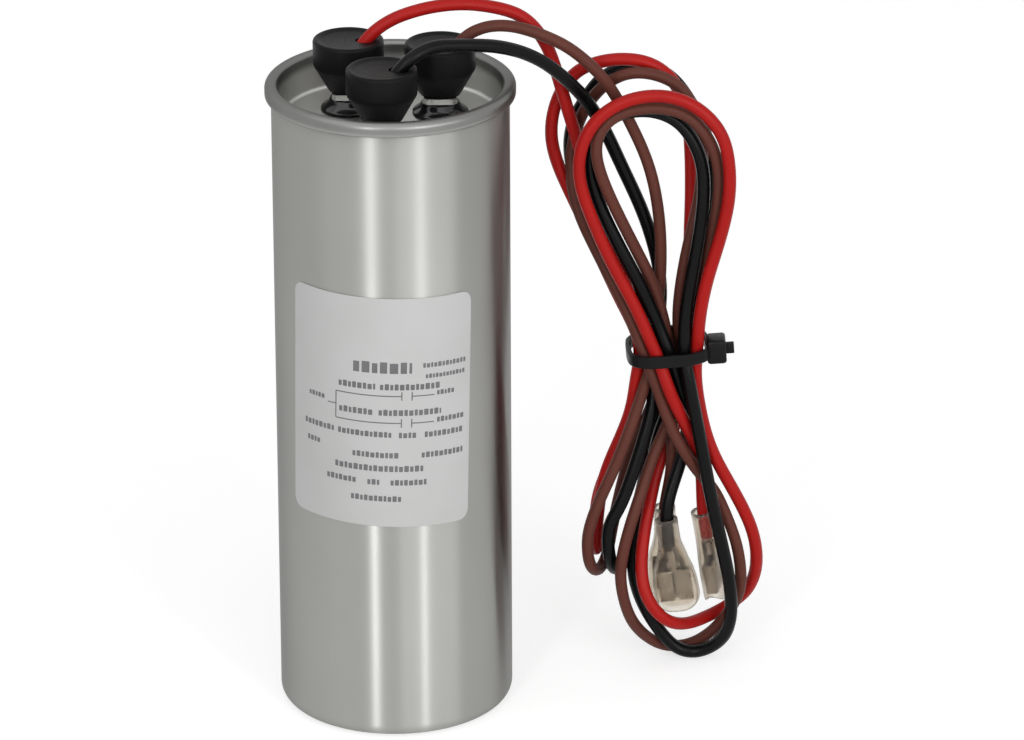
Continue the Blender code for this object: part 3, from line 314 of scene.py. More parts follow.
class Nodes:
    """A short way to write one material's node tree."""

    def __init__(self, name):
        self.material = bpy.data.materials.new(name)
        self.material.use_nodes = True
        self.tree = self.material.node_tree
        self.shader = self.tree.nodes["Principled BSDF"]

    def add(self, kind, **settings):
        node = self.tree.nodes.new("ShaderNode" + kind)
        for key, value in settings.items():
            setattr(node, key, value)
        return node

    def feed(self, socket, value):
        """Links an input to another node, or sets its number, vector or colour."""
        if isinstance(value, bpy.types.NodeSocket):
            self.tree.links.new(value, socket)
        elif socket.type == "RGBA":
            socket.default_value = (*value, 1.0)
        else:
            socket.default_value = value

    def set(self, **values):
        for key, value in values.items():
            self.feed(self.shader.inputs[key.replace("_", " ")], value)

    def source(self, name):
        """What feeds one of the shader's inputs."""
        return self.shader.inputs[name].links[0].from_socket

    def noise(self, scale, detail, roughness):
        """Noise by object coordinates, which are in metres, scaled along each axis."""
        place = self.add("TexCoord")
        mapping = self.add("Mapping")
        self.feed(mapping.inputs["Scale"], scale)
        self.feed(mapping.inputs["Vector"], place.outputs["Object"])
        node = self.add("TexNoise")
        self.feed(node.inputs["Scale"], 1.0)
        self.feed(node.inputs["Detail"], detail)
        self.feed(node.inputs["Roughness"], roughness)
        self.feed(node.inputs["Vector"], mapping.outputs["Vector"])
        return node.outputs["Fac"]

    def spread(self, value, low, high, start=0.3, end=0.7):
        """Turns a value from start to end into one from low to high."""
        node = self.add("MapRange")
        self.feed(node.inputs["From Min"], start)
        self.feed(node.inputs["From Max"], end)
        self.feed(node.inputs["To Min"], low)
        self.feed(node.inputs["To Max"], high)
        self.feed(node.inputs["Value"], value)
        return node.outputs["Result"]

    def by_height(self, low, high, first, last):
        """A value that goes from the first at the low level to the last at the high one."""
        place = self.add("TexCoord")
        parts = self.add("SeparateXYZ")
        fade = self.add("MapRange", interpolation_type="SMOOTHSTEP")
        self.feed(fade.inputs["From Min"], low * MM)
        self.feed(fade.inputs["From Max"], high * MM)
        self.feed(fade.inputs["To Min"], first)
        self.feed(fade.inputs["To Max"], last)
        self.feed(parts.inputs[0], place.outputs["Object"])
        self.feed(fade.inputs["Value"], parts.outputs["Z"])
        return fade.outputs["Result"]

    def mix(self, factor, first, second, blend_type="MIX"):
        node = self.add("Mix", data_type="RGBA", blend_type=blend_type)
        self.feed(node.inputs["Factor"], factor)
        self.feed(node.inputs[MIX_FIRST], first)
        self.feed(node.inputs[MIX_SECOND], second)
        return node.outputs[MIX_RESULT]

    def bump(self, height, distance, strength):
        node = self.add("Bump")
        self.feed(node.inputs["Strength"], strength)
        self.feed(node.inputs["Distance"], distance)
        self.feed(node.inputs["Height"], height)
        return node.outputs["Normal"]


def scaled(colour, factor):
    return tuple(part * factor for part in colour)


def aluminium(name, colour, streak, rough_low, rough_high, spread_along, grain):
    """Drawn aluminium with fine lines along streak's long axis and faint clouding."""
    look = Nodes(name)
    lines = look.noise(streak, 4.0, 0.6)
    cloud = look.noise((45.0, 45.0, 30.0), 3.0, 0.5)
    tone = look.mix(look.spread(cloud, 0.0, 1.0), scaled(colour, 0.97), scaled(colour, 1.03))
    wear = look.spread(lines, 0.0, 1.0, 0.25, 0.75)
    fine = look.mix(wear, (0.98, 0.98, 0.98), (1.0, 1.0, 1.0))
    tangent = look.add("Tangent", direction_type="RADIAL", axis="Z")
    look.set(
        Base_Color=look.mix(1.0, tone, fine, "MULTIPLY"),
        Metallic=1.0,
        Roughness=look.spread(lines, rough_low, rough_high, 0.25, 0.75),
        Anisotropic=spread_along,
        Anisotropic_Rotation=0.25,
        Specular_Tint=(0.5, 0.5, 0.5),
        Normal=look.bump(lines, 0.00001, grain),
        Tangent=tangent.outputs["Tangent"],
    )
    return look


def soften_above(look, low, high, rougher, painted_sheen):
    """A metal that gets rougher from the low level to the high one, and whose colour is painted
    paler there: a painted sheen for the broad soft highlight on the upper can.
    """
    total = look.add("Math")
    look.feed(total.inputs[0], look.source("Roughness"))
    look.feed(total.inputs[1], look.by_height(low, high, 0.0, rougher))
    # The Value lift below paints sheen into the colour; the metal itself is no paler.
    tone = look.add("HueSaturation")
    look.feed(tone.inputs["Color"], look.source("Base Color"))
    look.feed(tone.inputs["Value"], look.by_height(low, high, 1.0, painted_sheen))
    look.set(Roughness=total.outputs[0], Base_Color=tone.outputs["Color"])


def lighten_below(look, low, high, colour):
    """Paints the metal lighter below the low level, fading out at the high one: a painted
    reflection tone on one and the same metal.
    """
    fade = look.by_height(low, high, 0.0, 1.0)
    look.set(Base_Color=look.mix(fade, colour, look.source("Base Color")))


def plastic(name, colour, roughness, grain, depth, tone=0.12, **extra):
    """Moulded plastic or vinyl: slight tone changes and a fine grain."""
    look = Nodes(name)
    cloud = look.noise((130.0, 130.0, 130.0), 3.0, 0.5)
    fine = look.noise((grain, grain, grain), 3.0, 0.6)
    low = scaled(colour, 1.0 - tone)
    high = scaled(colour, 1.0 + tone)
    look.set(
        Base_Color=look.mix(look.spread(cloud, 0.0, 1.0), low, high),
        Roughness=look.spread(fine, roughness - 0.05, roughness + 0.07),
        Normal=look.bump(fine, depth, 0.5),
        **extra,
    )
    return look.material


def tin(name, colour):
    """Tin-plated sheet: bright, with soft clouds and rolling marks."""
    look = Nodes(name)
    cloud = look.noise((260.0, 260.0, 260.0), 4.0, 0.6)
    lines = look.noise((2600.0, 200.0, 200.0), 3.0, 0.6)
    low = scaled(colour, 0.85)
    high = scaled(colour, 1.1)
    look.set(
        Base_Color=look.mix(look.spread(cloud, 0.0, 1.0), low, high),
        Metallic=1.0,
        Roughness=look.spread(cloud, 0.2, 0.36),
        Normal=look.bump(lines, 0.00002, 0.3),
    )
    return look.material


def clear_sleeve(name):
    """Slightly milky vinyl that lets the receptacle show through."""
    look = Nodes(name)
    cloud = look.noise((300.0, 300.0, 300.0), 3.0, 0.55)
    fade = look.spread(cloud, 0.0, 1.0)
    look.set(
        Base_Color=look.mix(fade, (0.7, 0.64, 0.56), (0.84, 0.79, 0.71)),
        Roughness=look.spread(cloud, 0.26, 0.36),
        Transmission_Weight=0.97,
        IOR=1.2,
        Normal=look.bump(cloud, 0.00008, 0.3),
    )
    return look.material


def paper(name):
    """The label's coated paper, with faint fibres."""
    look = Nodes(name)
    cloud = look.noise((70.0, 70.0, 70.0), 3.0, 0.5)
    fibre = look.noise((2200.0, 2200.0, 900.0), 3.0, 0.6)
    fade = look.spread(cloud, 0.0, 1.0)
    look.set(
        Base_Color=look.mix(fade, (0.475, 0.475, 0.47), (0.505, 0.507, 0.505)),
        Roughness=look.spread(fibre, 0.34, 0.46),
        Normal=look.bump(fibre, 0.00001, 0.35),
    )
    return look.material


# Helpers for shapes

def place_in_scene(item):
    bpy.context.scene.collection.objects.link(item)
    return item


def smooth_mesh(mesh, angle):
    """Smooth shading, with sharp edges where faces meet at more than the angle."""
    mesh.shade_smooth()
    mesh.set_sharp_from_angle(angle=math.radians(angle))


def put(name, mesh, material, angle=40.0):
    """Makes the object of a finished mesh."""
    item = place_in_scene(bpy.data.objects.new(name, mesh))
    mesh.materials.append(material)
    smooth_mesh(mesh, angle)
    return item


def stands_for(item, slot, *nodes):
    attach(item, "root")
    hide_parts(*nodes)
    return item


def add_boolean(item, other, operation):
    change = item.modifiers.new(operation.lower(), "BOOLEAN")
    change.operation = operation
    change.solver = "EXACT"
    change.object = other


def add_bevel(item, width, segments):
    bevel = item.modifiers.new("soft_edges", "BEVEL")
    bevel.width = width * MM
    bevel.segments = segments
    return bevel


def settle(item, angle):
    """Keeps the mesh as its modifiers leave it."""
    bpy.context.view_layer.update()
    graph = bpy.context.evaluated_depsgraph_get()
    mesh = bpy.data.meshes.new_from_object(item.evaluated_get(graph))
    item.modifiers.clear()
    item.data = mesh
    smooth_mesh(mesh, angle)


def add_box(centre, size):
    """A box to join into another piece, in millimetres."""
    bpy.ops.mesh.primitive_cube_add(size=1.0, location=tuple(part * MM for part in centre))
    item = bpy.context.view_layer.objects.active
    item.scale = tuple(part * MM for part in size)
    bpy.ops.object.transform_apply(location=True, rotation=False, scale=True)
    return item


def mesh_of(name, points, faces):
    """A closed mesh from millimetres, with its faces turned outward."""
    mesh = bpy.data.meshes.new(name)
    mesh.from_pydata([tuple(part * MM for part in point) for point in points], [], faces)
    work = bmesh.new()
    work.from_mesh(mesh)
    bmesh.ops.recalc_face_normals(work, faces=work.faces)
    if work.calc_volume(signed=True) < 0:
        bmesh.ops.reverse_faces(work, faces=work.faces)
    work.to_mesh(mesh)
    work.free()
    return mesh


def arc(centre, radius, start, end, steps):
    """Points of an arc from the start angle to the end one, in degrees."""
    points = []
    for step in range(steps + 1):
        turn = math.radians(start + (end - start) * step / steps)
        x = centre[0] + radius * math.cos(turn)
        y = centre[1] + radius * math.sin(turn)
        points.append((x, y))
    return points


def lathe(name, profile, sides, closed=False, centre=(0.0, 0.0), lift=0.0):
    """Turns radius and height pairs about a vertical axis."""
    points = []
    rings = []
    for radius, height in profile:
        start = len(points)
        if radius == 0.0:
            points.append((centre[0], centre[1], height + lift))
            rings.append([start])
            continue
        for side in range(sides):
            turn = 2 * math.pi * side / sides
            x = centre[0] + radius * math.cos(turn)
            y = centre[1] + radius * math.sin(turn)
            points.append((x, y, height + lift))
        rings.append(list(range(start, start + sides)))
    pairs = list(zip(rings, rings[1:]))
    if closed:
        pairs.append((rings[-1], rings[0]))
    faces = []
    for low, high in pairs:
        if len(low) == 1 and len(high) == 1:
            continue
        for side in range(sides):
            after = (side + 1) % sides
            if len(low) == 1:
                faces.append((low[0], high[side], high[after]))
            elif len(high) == 1:
                faces.append((low[side], low[after], high[0]))
            else:
                faces.append((low[side], low[after], high[after], high[side]))
    return mesh_of(name, points, faces)


def round_box(left, low, right, high, corner, steps):
    """A flat box with round corners, as run and height pairs."""
    corner = min(corner, (right - left) / 2, (high - low) / 2)
    outline = []
    for x, z, start in (
        (right - corner, high - corner, 0),
        (left + corner, high - corner, 90),
        (left + corner, low + corner, 180),
        (right - corner, low + corner, 270),
    ):
        outline += arc((x, z), corner, start, start + 90, steps)
    return outline


def wrapped(name, outline, radius, thickness, material):
    """A flat outline of run and height, scored at even steps and wrapped on the can."""
    work = bmesh.new()
    work.faces.new([work.verts.new((x, 0.0, z)) for x, z in outline])
    low = min(x for x, z in outline)
    high = max(x for x, z in outline)
    score = math.floor(low / LABEL_FOLD) + 1
    while score * LABEL_FOLD < high:
        bmesh.ops.bisect_plane(
            work,
            geom=work.verts[:] + work.edges[:] + work.faces[:],
            dist=0.0001,
            plane_co=(score * LABEL_FOLD, 0.0, 0.0),
            plane_no=(1.0, 0.0, 0.0),
        )
        score += 1
    for vertex in work.verts:
        turn = vertex.co.x / radius
        x = radius * math.sin(turn)
        y = -radius * math.cos(turn)
        vertex.co = Vector((x, y, vertex.co.z)) * MM
    bmesh.ops.recalc_face_normals(work, faces=work.faces)
    face = work.faces[:][0]
    if face.normal.dot(face.calc_center_median() * Vector((1, 1, 0))) < 0:
        bmesh.ops.reverse_faces(work, faces=work.faces)
    made = bmesh.ops.extrude_face_region(work, geom=work.faces[:])
    for vertex in [part for part in made["geom"] if isinstance(part, bmesh.types.BMVert)]:
        push = Vector((vertex.co.x, vertex.co.y, 0.0)).normalized()
        vertex.co += push * thickness * MM
    bmesh.ops.recalc_face_normals(work, faces=work.faces)
    mesh = bpy.data.meshes.new(name)
    work.to_mesh(mesh)
    work.free()
    return put(name, mesh, material)


def smooth_route(points, steps):
    """A cubic B-spline along the points, starting and ending on them."""
    p = [Vector(point) for point in points]
    p = [2 * p[0] - p[1]] + p + [2 * p[-1] - p[-2]]
    line = []
    for i in range(len(p) - 3):
        for step in range(steps):
            t = step / steps
            a = (1 - t) ** 3 / 6
            b = (3 * t ** 3 - 6 * t ** 2 + 4) / 6
            c = (-3 * t ** 3 + 3 * t ** 2 + 3 * t + 1) / 6
            d = t ** 3 / 6
            line.append(a * p[i] + b * p[i + 1] + c * p[i + 2] + d * p[i + 3])
    line.append(p[-2])
    return line


def closed_curve(points, steps):
    """A closed Catmull-Rom curve through the points."""
    count = len(points)
    line = []
    for i in range(count):
        a, b, c, d = (Vector(points[(i + near) % count]) for near in (-1, 0, 1, 2))
        for step in range(steps):
            t = step / steps
            line.append(
                0.5 * ((2 * b) + (c - a) * t + (2 * a - 5 * b + 4 * c - d) * t * t
                       + (3 * b - a - 3 * c + d) * t ** 3)
            )
    return line


def offset_loop(loop, distance):
    """The loop moved outward by the distance."""
    line = []
    for i, point in enumerate(loop):
        before = point - loop[i - 1]
        after = loop[(i + 1) % len(loop)] - point
        first = Vector((-before.y, before.x)).normalized()
        second = Vector((-after.y, after.x)).normalized()
        middle = (first + second).normalized()
        line.append(point - middle * (distance / max(0.5, middle.dot(first))))
    return line


def terminal_place(lead):
    turn = math.radians(TERMINAL_ANGLES[lead])
    return TERMINAL_CIRCLE * math.cos(turn), TERMINAL_CIRCLE * math.sin(turn)


def wire_start(lead):
    """Where a wire begins inside its boot, and the way it leaves."""
    x, y = terminal_place(lead)
    rise = math.radians(WIRE_RISE)
    start = Vector((x + WIRE_START_SHIFT, y, PANEL_TOP + WIRE_START_HEIGHT))
    return start, Vector((math.cos(rise), 0.0, math.sin(rise)))


def whole_route(lead):
    """The straight start in the boot, then the chosen points."""
    start, along = wire_start(lead)
    first = [start + along * WIRE_STEP * step for step in range(3)]
    return first + [Vector(point) for point in ROUTES[lead]]


# Camera
camera_data = bpy.data.cameras.new("camera")
camera_data.lens = CAMERA_LENS
camera_data.sensor_width = CAMERA_SENSOR
camera_data.clip_end = CAMERA_REACH
camera = place_in_scene(bpy.data.objects.new("camera", camera_data))
dip = Matrix.Rotation(math.radians(90.0 - CAMERA_DIP), 4, "X")
roll = Matrix.Rotation(math.radians(CAMERA_ROLL), 4, "Z")
camera.matrix_world = Matrix.Translation(CAMERA_PLACE) @ dip @ roll
bpy.context.scene.camera = camera

# Materials
can_look = aluminium(
    "can_metal",
    colour=(0.352, 0.352, 0.338),
    streak=(900.0, 900.0, 26.0),
    rough_low=0.32,
    rough_high=0.34,
    spread_along=1.0,
    grain=0.07,
)
# Above the label the can is rougher, and its colour is painted paler there as a painted broad
# highlight.
soften_above(can_look, low=60.0, high=115.0, rougher=0.16, painted_sheen=1.2)
# The cover is one metal: its dark colour on the rim is a painted darker reflection, and the lighter
# colour below the rim is a painted lighter reflection.
cover_look = aluminium(
    "cover_metal",
    colour=(0.2, 0.2, 0.194),
    streak=(160.0, 160.0, 160.0),
    rough_low=0.34,
    rough_high=0.4,
    spread_along=0.2,
    grain=0.05,
)
# Painted lighter reflection tone on the sunk wall and panel.
lighten_below(cover_look, RIM_TOP - 4.0, RIM_TOP - 1.8, (0.57, 0.57, 0.55))
black_gloss = plastic("black_gloss", (0.012, 0.012, 0.013), 0.14, 900.0, 0.00001)
boot_black = plastic(
    "boot_black_vinyl", (0.006, 0.006, 0.0063), 0.42, 1500.0, 0.00004, Specular_IOR_Level=0.08
)
tie_black = plastic(
    "tie_black", (0.007, 0.007, 0.0075), 0.34, 1800.0, 0.00002, Specular_IOR_Level=0.1
)
tinned = tin("tinned", (0.74, 0.73, 0.7))
tinned_dull = tin("tinned_dull", (0.34, 0.31, 0.28))
sleeve_clear = clear_sleeve("sleeve_clear")
gasket_dark = plastic("gasket_dark", (0.03, 0.03, 0.03), 0.6, 1200.0, 0.00003)
inner_pale = plastic("inner_pale", (0.72, 0.71, 0.67), 0.45, 900.0, 0.00003, 0.05)
film_pale = plastic("film_pale", (0.6, 0.58, 0.5), 0.3, 2000.0, 0.00002, 0.06, Metallic=0.3)
liner_brown = plastic("liner_brown", (0.5, 0.44, 0.33), 0.5, 1500.0, 0.00003, 0.08)
insulation = {}
for lead, colour, roughness, tone, gloss in (
    ("red", (0.37, 0.0085, 0.007), 0.42, 0.06, 0.16),
    ("brown", (0.1, 0.03, 0.021), 0.5, 0.08, 0.16),
    ("black", (0.0022, 0.0023, 0.0026), 0.3, 0.1, 0.12),
):
    insulation[lead] = plastic(
        "insulation_" + lead, colour, roughness, 1400.0, 0.000015, tone, Specular_IOR_Level=gloss
    )
label_pale = paper("label_sheet")
print_grey = plastic("print_grey", (0.13, 0.13, 0.135), 0.4, 1500.0, 0.00001, 0.1)


# Leads
def build_wire(lead):
    line = smooth_route(whole_route(lead), ROUTE_STEPS)
    curve = bpy.data.curves.new("lead_" + lead, "CURVE")
    curve.dimensions = "3D"
    curve.bevel_depth = WIRE_DIAMETERS[lead] / 2 * MM
    curve.bevel_resolution = 4
    curve.use_fill_caps = True
    spline = curve.splines.new("POLY")
    spline.points.add(len(line) - 1)
    for place, point in zip(spline.points, line):
        place.co = (*(point * MM), 1.0)
    spline.use_smooth = True
    curve.materials.append(insulation[lead])
    wire = place_in_scene(bpy.data.objects.new("lead_" + lead, curve))
    return stands_for(wire, "insulation_" + lead, "wire_" + lead)


wires = {lead: build_wire(lead) for lead in LEADS}


# Can and cover
def build_can():
    inner = CAN_RADIUS - CAN_WALL
    corner = CAN_CORNER - CAN_WALL
    profile = [(0.0, CAN_FLOOR)]
    profile += arc((inner - corner, CAN_FLOOR + corner), corner, -90, 0, 6)
    profile += [(inner, CAN_TOP), (CAN_RADIUS, CAN_TOP)]
    for band in range(CAN_BANDS - 1, 1, -1):
        profile.append((CAN_RADIUS, CAN_TOP * band / CAN_BANDS))
    profile += arc((CAN_RADIUS - CAN_CORNER, CAN_CORNER), CAN_CORNER, 0, -90, 14)
    profile += BASE_HOLLOW
    can = put("can_body", lathe("can_body", profile, CAN_SIDES), can_look.material)
    stands_for(can, "aluminium", "can")


def build_cover():
    panel_under = PANEL_TOP - PANEL_SHEET
    curl_under = RIM_TOP - CURL_SHEET
    skirt_under = RIM_TOP - SKIRT_DEPTH
    profile = [(radius, PANEL_TOP + height) for radius, height in PANEL_EDGE]
    profile += arc((SINK_INNER - SINK_CURVE, PANEL_TOP + SINK_CURVE), SINK_CURVE, -80, 0, 8)
    profile += [(SINK_INNER, RIM_TOP - LIP_START)]
    profile += arc((SINK_INNER + LIP_CURVE, RIM_TOP - LIP_CURVE), LIP_CURVE, 180, 96, 10)
    profile += arc((RIM_RADIUS - RIM_CURVE, RIM_TOP - RIM_CURVE), RIM_CURVE, 84, 0, 12)
    profile += arc((RIM_RADIUS - SKIRT_CURVE, skirt_under + SKIRT_CURVE), SKIRT_CURVE, 0, -90, 8)
    profile += [(SKIRT_INNER, skirt_under), (SKIRT_INNER, curl_under)]
    profile += [(SINK_OUTER, curl_under), (SINK_OUTER, panel_under + SINK_BEVEL)]
    profile += [(SINK_OUTER - SINK_BEVEL, panel_under), (0.0, panel_under)]
    mesh = lathe("cover_body", profile, CAN_SIDES)
    stands_for(put("cover_body", mesh, cover_look.material, 50.0), "aluminium", "cover")


build_can()
build_cover()

# Label and its marks
run = math.radians(1.0) * CAN_RADIUS
label_middle = Vector(((LABEL_LEFT + LABEL_RIGHT) / 2 * run, LABEL_BOTTOM + LABEL_HEIGHT / 2))


def tilted(outline):
    """The label went on a little askew, and its marks with it."""
    turn = Matrix.Rotation(math.radians(-LABEL_TILT), 2)
    return [tuple(turn @ (Vector(point) - label_middle) + label_middle) for point in outline]


def build_label():
    left = LABEL_LEFT * run
    right = LABEL_RIGHT * run
    top = LABEL_BOTTOM + LABEL_HEIGHT
    outline = tilted(round_box(left, LABEL_BOTTOM, right, top, LABEL_CORNER, 8))
    label = wrapped("label_sheet", outline, LABEL_INNER, LABEL_SHEET, label_pale)
    stands_for(label, "label_sheet", "label")


def mark(name, outline):
    return wrapped(name, tilted(outline), PRINT_RADIUS, PRINT_SHEET, print_grey)


def row_of_blocks(left, right, middle, tall):
    marks = []
    place = left
    while place < right - BLOCK_GAP * tall:
        count = len(marks)
        wide = tall * BLOCK_WIDTHS[count % len(BLOCK_WIDTHS)]
        high = tall * BLOCK_HEIGHTS[(count + round(middle)) % len(BLOCK_HEIGHTS)]
        low = middle - tall / 2
        end = min(place + wide, right)
        marks.append(mark("print_block", round_box(place, low, end, low + high, BLOCK_CORNER, 2)))
        place += wide + tall * BLOCK_GAP
    return marks


def stroke(start, end):
    along = Vector((end[0] - start[0], end[1] - start[1])).normalized()
    side = Vector((-along.y, along.x)) * STROKE_HALF_WIDTH
    outline = [(start[0] - side.x, start[1] - side.y), (end[0] - side.x, end[1] - side.y)]
    outline += [(end[0] + side.x, end[1] + side.y), (start[0] + side.x, start[1] + side.y)]
    return mark("print_stroke", outline)


def build_print():
    marks = []
    for left, right, middle, tall in PRINT_ROWS:
        marks += row_of_blocks(left, right, middle, tall)
    for start, end in PRINT_STROKES:
        marks.append(stroke(start, end))
    bpy.ops.object.select_all(action="DESELECT")
    for item in marks:
        item.select_set(True)
    bpy.context.view_layer.objects.active = marks[0]
    bpy.ops.object.join()
    label_print = bpy.context.view_layer.objects.active
    label_print.name = "label_print"
    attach(label_print, "root")


build_label()
build_print()


# Insulators and boots
def build_collar(lead):
    neck = COLLAR_NECK_RADIUS
    profile = [(BORE_RADIUS, COLLAR_TOP), (neck - COLLAR_NECK_BEVEL, COLLAR_TOP)]
    profile += [(neck, COLLAR_TOP - COLLAR_NECK_BEVEL)]
    profile += [(neck + out, height) for out, height in COLLAR_FLARE]
    profile += [(COLLAR_RADIUS - inward, height) for inward, height in COLLAR_EDGE]
    profile += [(COLLAR_RADIUS, COLLAR_UNDER), (SHANK_RADIUS, COLLAR_UNDER)]
    profile += [(SHANK_RADIUS, FLANGE_TOP), (FLANGE_RADIUS, FLANGE_TOP)]
    profile += [(FLANGE_RADIUS, FLANGE_UNDER), (BORE_RADIUS, FLANGE_UNDER)]
    mesh = lathe("collar_" + lead, profile, COLLAR_SIDES, True, terminal_place(lead), PANEL_TOP)
    collar = put("collar_" + lead, mesh, black_gloss, 30.0)
    stands_for(collar, "black_plastic", "insulator_" + lead)


def boot_mesh(lead):
    curve = (BOOT_RADIUS - BOOT_CURVE, BOOT_TOP - BOOT_CURVE)
    profile = [(BOOT_RADIUS - inward, BOOT_TOP - down) for inward, down in BOOT_DISH]
    profile += arc(curve, BOOT_CURVE, 80, 0, 7)
    profile += [(BOOT_RADIUS - inward, BOOT_SHOULDER + up) for inward, up in BOOT_BEND]
    profile += [(BOOT_NECK_RADIUS + 0.15, BOOT_UNDER + 0.35)]
    profile += [(BOOT_NECK_RADIUS - 0.1, BOOT_UNDER), (BOOT_NECK_INNER, BOOT_UNDER)]
    profile += [(BOOT_NECK_INNER, BOOT_UNDER + 0.8), (BOOT_INNER, BOOT_SHOULDER + 0.6)]
    profile += [(BOOT_INNER, BOOT_ROOF), (0.0, BOOT_ROOF)]
    return lathe("boot_cap_" + lead, profile, BOOT_SIDES, True, terminal_place(lead), PANEL_TOP)


def build_boot(lead):
    boot = put("boot_cap_" + lead, boot_mesh(lead), boot_black, 35.0)
    start, along = wire_start(lead)
    bpy.ops.mesh.primitive_cylinder_add(
        vertices=HOLE_SIDES,
        radius=(WIRE_DIAMETERS[lead] / 2 + HOLE_CLEARANCE) * MM,
        depth=HOLE_LENGTH * MM,
    )
    hole = bpy.context.view_layer.objects.active
    turn = along.to_track_quat("Z", "Y").to_matrix().to_4x4()
    hole.matrix_world = Matrix.Translation((start + along * HOLE_MIDDLE) * MM) @ turn
    add_boolean(boot, hole, "DIFFERENCE")
    settle(boot, 35.0)
    bpy.data.objects.remove(hole, do_unlink=True)
    stands_for(boot, "boot_vinyl", "boot_" + lead)


for lead in LEADS:
    build_collar(lead)
    build_boot(lead)


# Clear sleeves
def connector_matrix(lead):
    neck, mouth, wide = (Vector(part) for part in CONNECTORS[lead])
    down = (mouth - neck).normalized()
    across = (wide - down * wide.dot(down)).normalized()
    turn = Matrix((across, down.cross(across), down)).transposed().to_4x4()
    return Matrix.Translation(neck * MM) @ turn


def sleeve_section(half_width, half_depth, flatness):
    """One section: round at the neck, and squarer where the sleeve is flat."""
    power = 1.0 - SLEEVE_SQUARENESS * flatness
    points = []
    for side in range(SLEEVE_SIDES):
        turn = 2 * math.pi * side / SLEEVE_SIDES
        across = math.cos(turn)
        deep = math.sin(turn)
        u = half_width * math.copysign(abs(across) ** power, across)
        v = half_depth * math.copysign(abs(deep) ** power, deep)
        points.append((u, v))
    return points


def build_sleeve(lead):
    points = []
    matrix = connector_matrix(lead)
    for way, wide, deep in SLEEVE_SECTIONS:
        flatness = min(1.0, max(0.0, (way - SLEEVE_FLAT_START) / SLEEVE_FLAT_RUN))
        mouth = max(0.0, way - SLEEVE_MOUTH_START) / SLEEVE_MOUTH_RUN
        for u, v in sleeve_section(wide, deep, flatness):
            back = SLEEVE_MOUTH_CURVE * abs(u / wide) ** 3 * mouth
            points.append(matrix @ (Vector((u, v, way - back)) * MM))
    faces = []
    for low in range(0, len(points) - SLEEVE_SIDES, SLEEVE_SIDES):
        high = low + SLEEVE_SIDES
        for side in range(SLEEVE_SIDES):
            after = (side + 1) % SLEEVE_SIDES
            faces.append((low + side, low + after, high + after, high + side))
    mesh = bpy.data.meshes.new("clear_sleeve_" + lead)
    mesh.from_pydata(points, [], faces)
    sleeve = put("clear_sleeve_" + lead, mesh, sleeve_clear, 60.0)
    fine = sleeve.modifiers.new("fine", "SUBSURF")
    fine.levels = 1
    fine.render_levels = 1
    wall = sleeve.modifiers.new("wall", "SOLIDIFY")
    wall.thickness = SLEEVE_WALL * MM
    wall.offset = -1.0
    return stands_for(sleeve, "clear_vinyl", "sleeve_" + lead)


sleeves = {lead: build_sleeve(lead) for lead in LEADS}


# Cable tie
def strap_mesh():
    loop = closed_curve(TIE_LOOP, TIE_STEPS)
    half = TIE_WIDTH / 2
    section = [(0.0, half - TIE_EDGE), (TIE_EDGE, half), (TIE_SHEET - TIE_EDGE, half)]
    section += [(TIE_SHEET, half - TIE_EDGE), (TIE_SHEET, TIE_EDGE - half)]
    section += [(TIE_SHEET - TIE_EDGE, -half), (TIE_EDGE, -half), (0.0, TIE_EDGE - half)]
    points = []
    for out, height in section:
        for point in offset_loop(loop, out):
            points.append((point.x, point.y, TIE_MIDDLE + height))
    faces = []
    count = len(loop)
    for level in range(len(section)):
        low = level * count
        high = (level + 1) % len(section) * count
        for step in range(count):
            after = (step + 1) % count
            faces.append((low + step, low + after, high + after, high + step))
    return mesh_of("tie_band", points, faces)


def build_tie():
    strap = put("tie_band", strap_mesh(), tie_black, 50.0)
    x, y = TIE_HEAD_PLACE
    head = add_box((x, y, TIE_MIDDLE), TIE_HEAD_SIZE)
    add_bevel(head, TIE_HEAD_BEVEL, 3)
    end = x + TIE_HEAD_SIZE[0] / 2 + TIE_TAIL_LENGTH
    tail = add_box(((x + end) / 2, y, TIE_MIDDLE), (end - x, TIE_TAIL_SHEET, TIE_TAIL_WIDTH))
    add_bevel(tail, TIE_TAIL_BEVEL, 2)
    for other in (head, tail):
        add_boolean(strap, other, "UNION")
    settle(strap, 40.0)
    for other in (head, tail):
        bpy.data.objects.remove(other, do_unlink=True)
    centre = Matrix.Translation(Vector((*TIE_CENTRE, TIE_MIDDLE)) * MM)
    tilt = Matrix.Rotation(math.radians(-TIE_TILT), 4, "Y")
    strap.data.transform(centre @ tilt @ centre.inverted())
    return stands_for(strap, "tie_nylon", "cable_tie")


tie = build_tie()

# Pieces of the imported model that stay, with better materials
STAYING = {"seam_gasket": gasket_dark, "liner": liner_brown, "mandrel": inner_pale}
for name in ("bottom_insulator", "spacer", "interrupter_plate"):
    STAYING[name] = inner_pale
for name in ("winding_main", "winding_fan"):
    STAYING[name] = film_pale
for lead in LEADS:
    for stem in ("terminal_", "flag_receptacle_", "inner_lead_"):
        STAYING[stem + lead] = tinned
    STAYING["receptacle_" + lead] = tinned_dull
for name, material in STAYING.items():
    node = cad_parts[name]
    node.data.materials.clear()
    node.data.materials.append(material)
for lead in LEADS:
    for stem in ("terminal_", "receptacle_"):
        edges = add_bevel(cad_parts[stem + lead], 0.08, 2)
        edges.limit_method = "ANGLE"
        edges.angle_limit = math.radians(40.0)

for lead in LEADS:
    start, along = wire_start(lead)


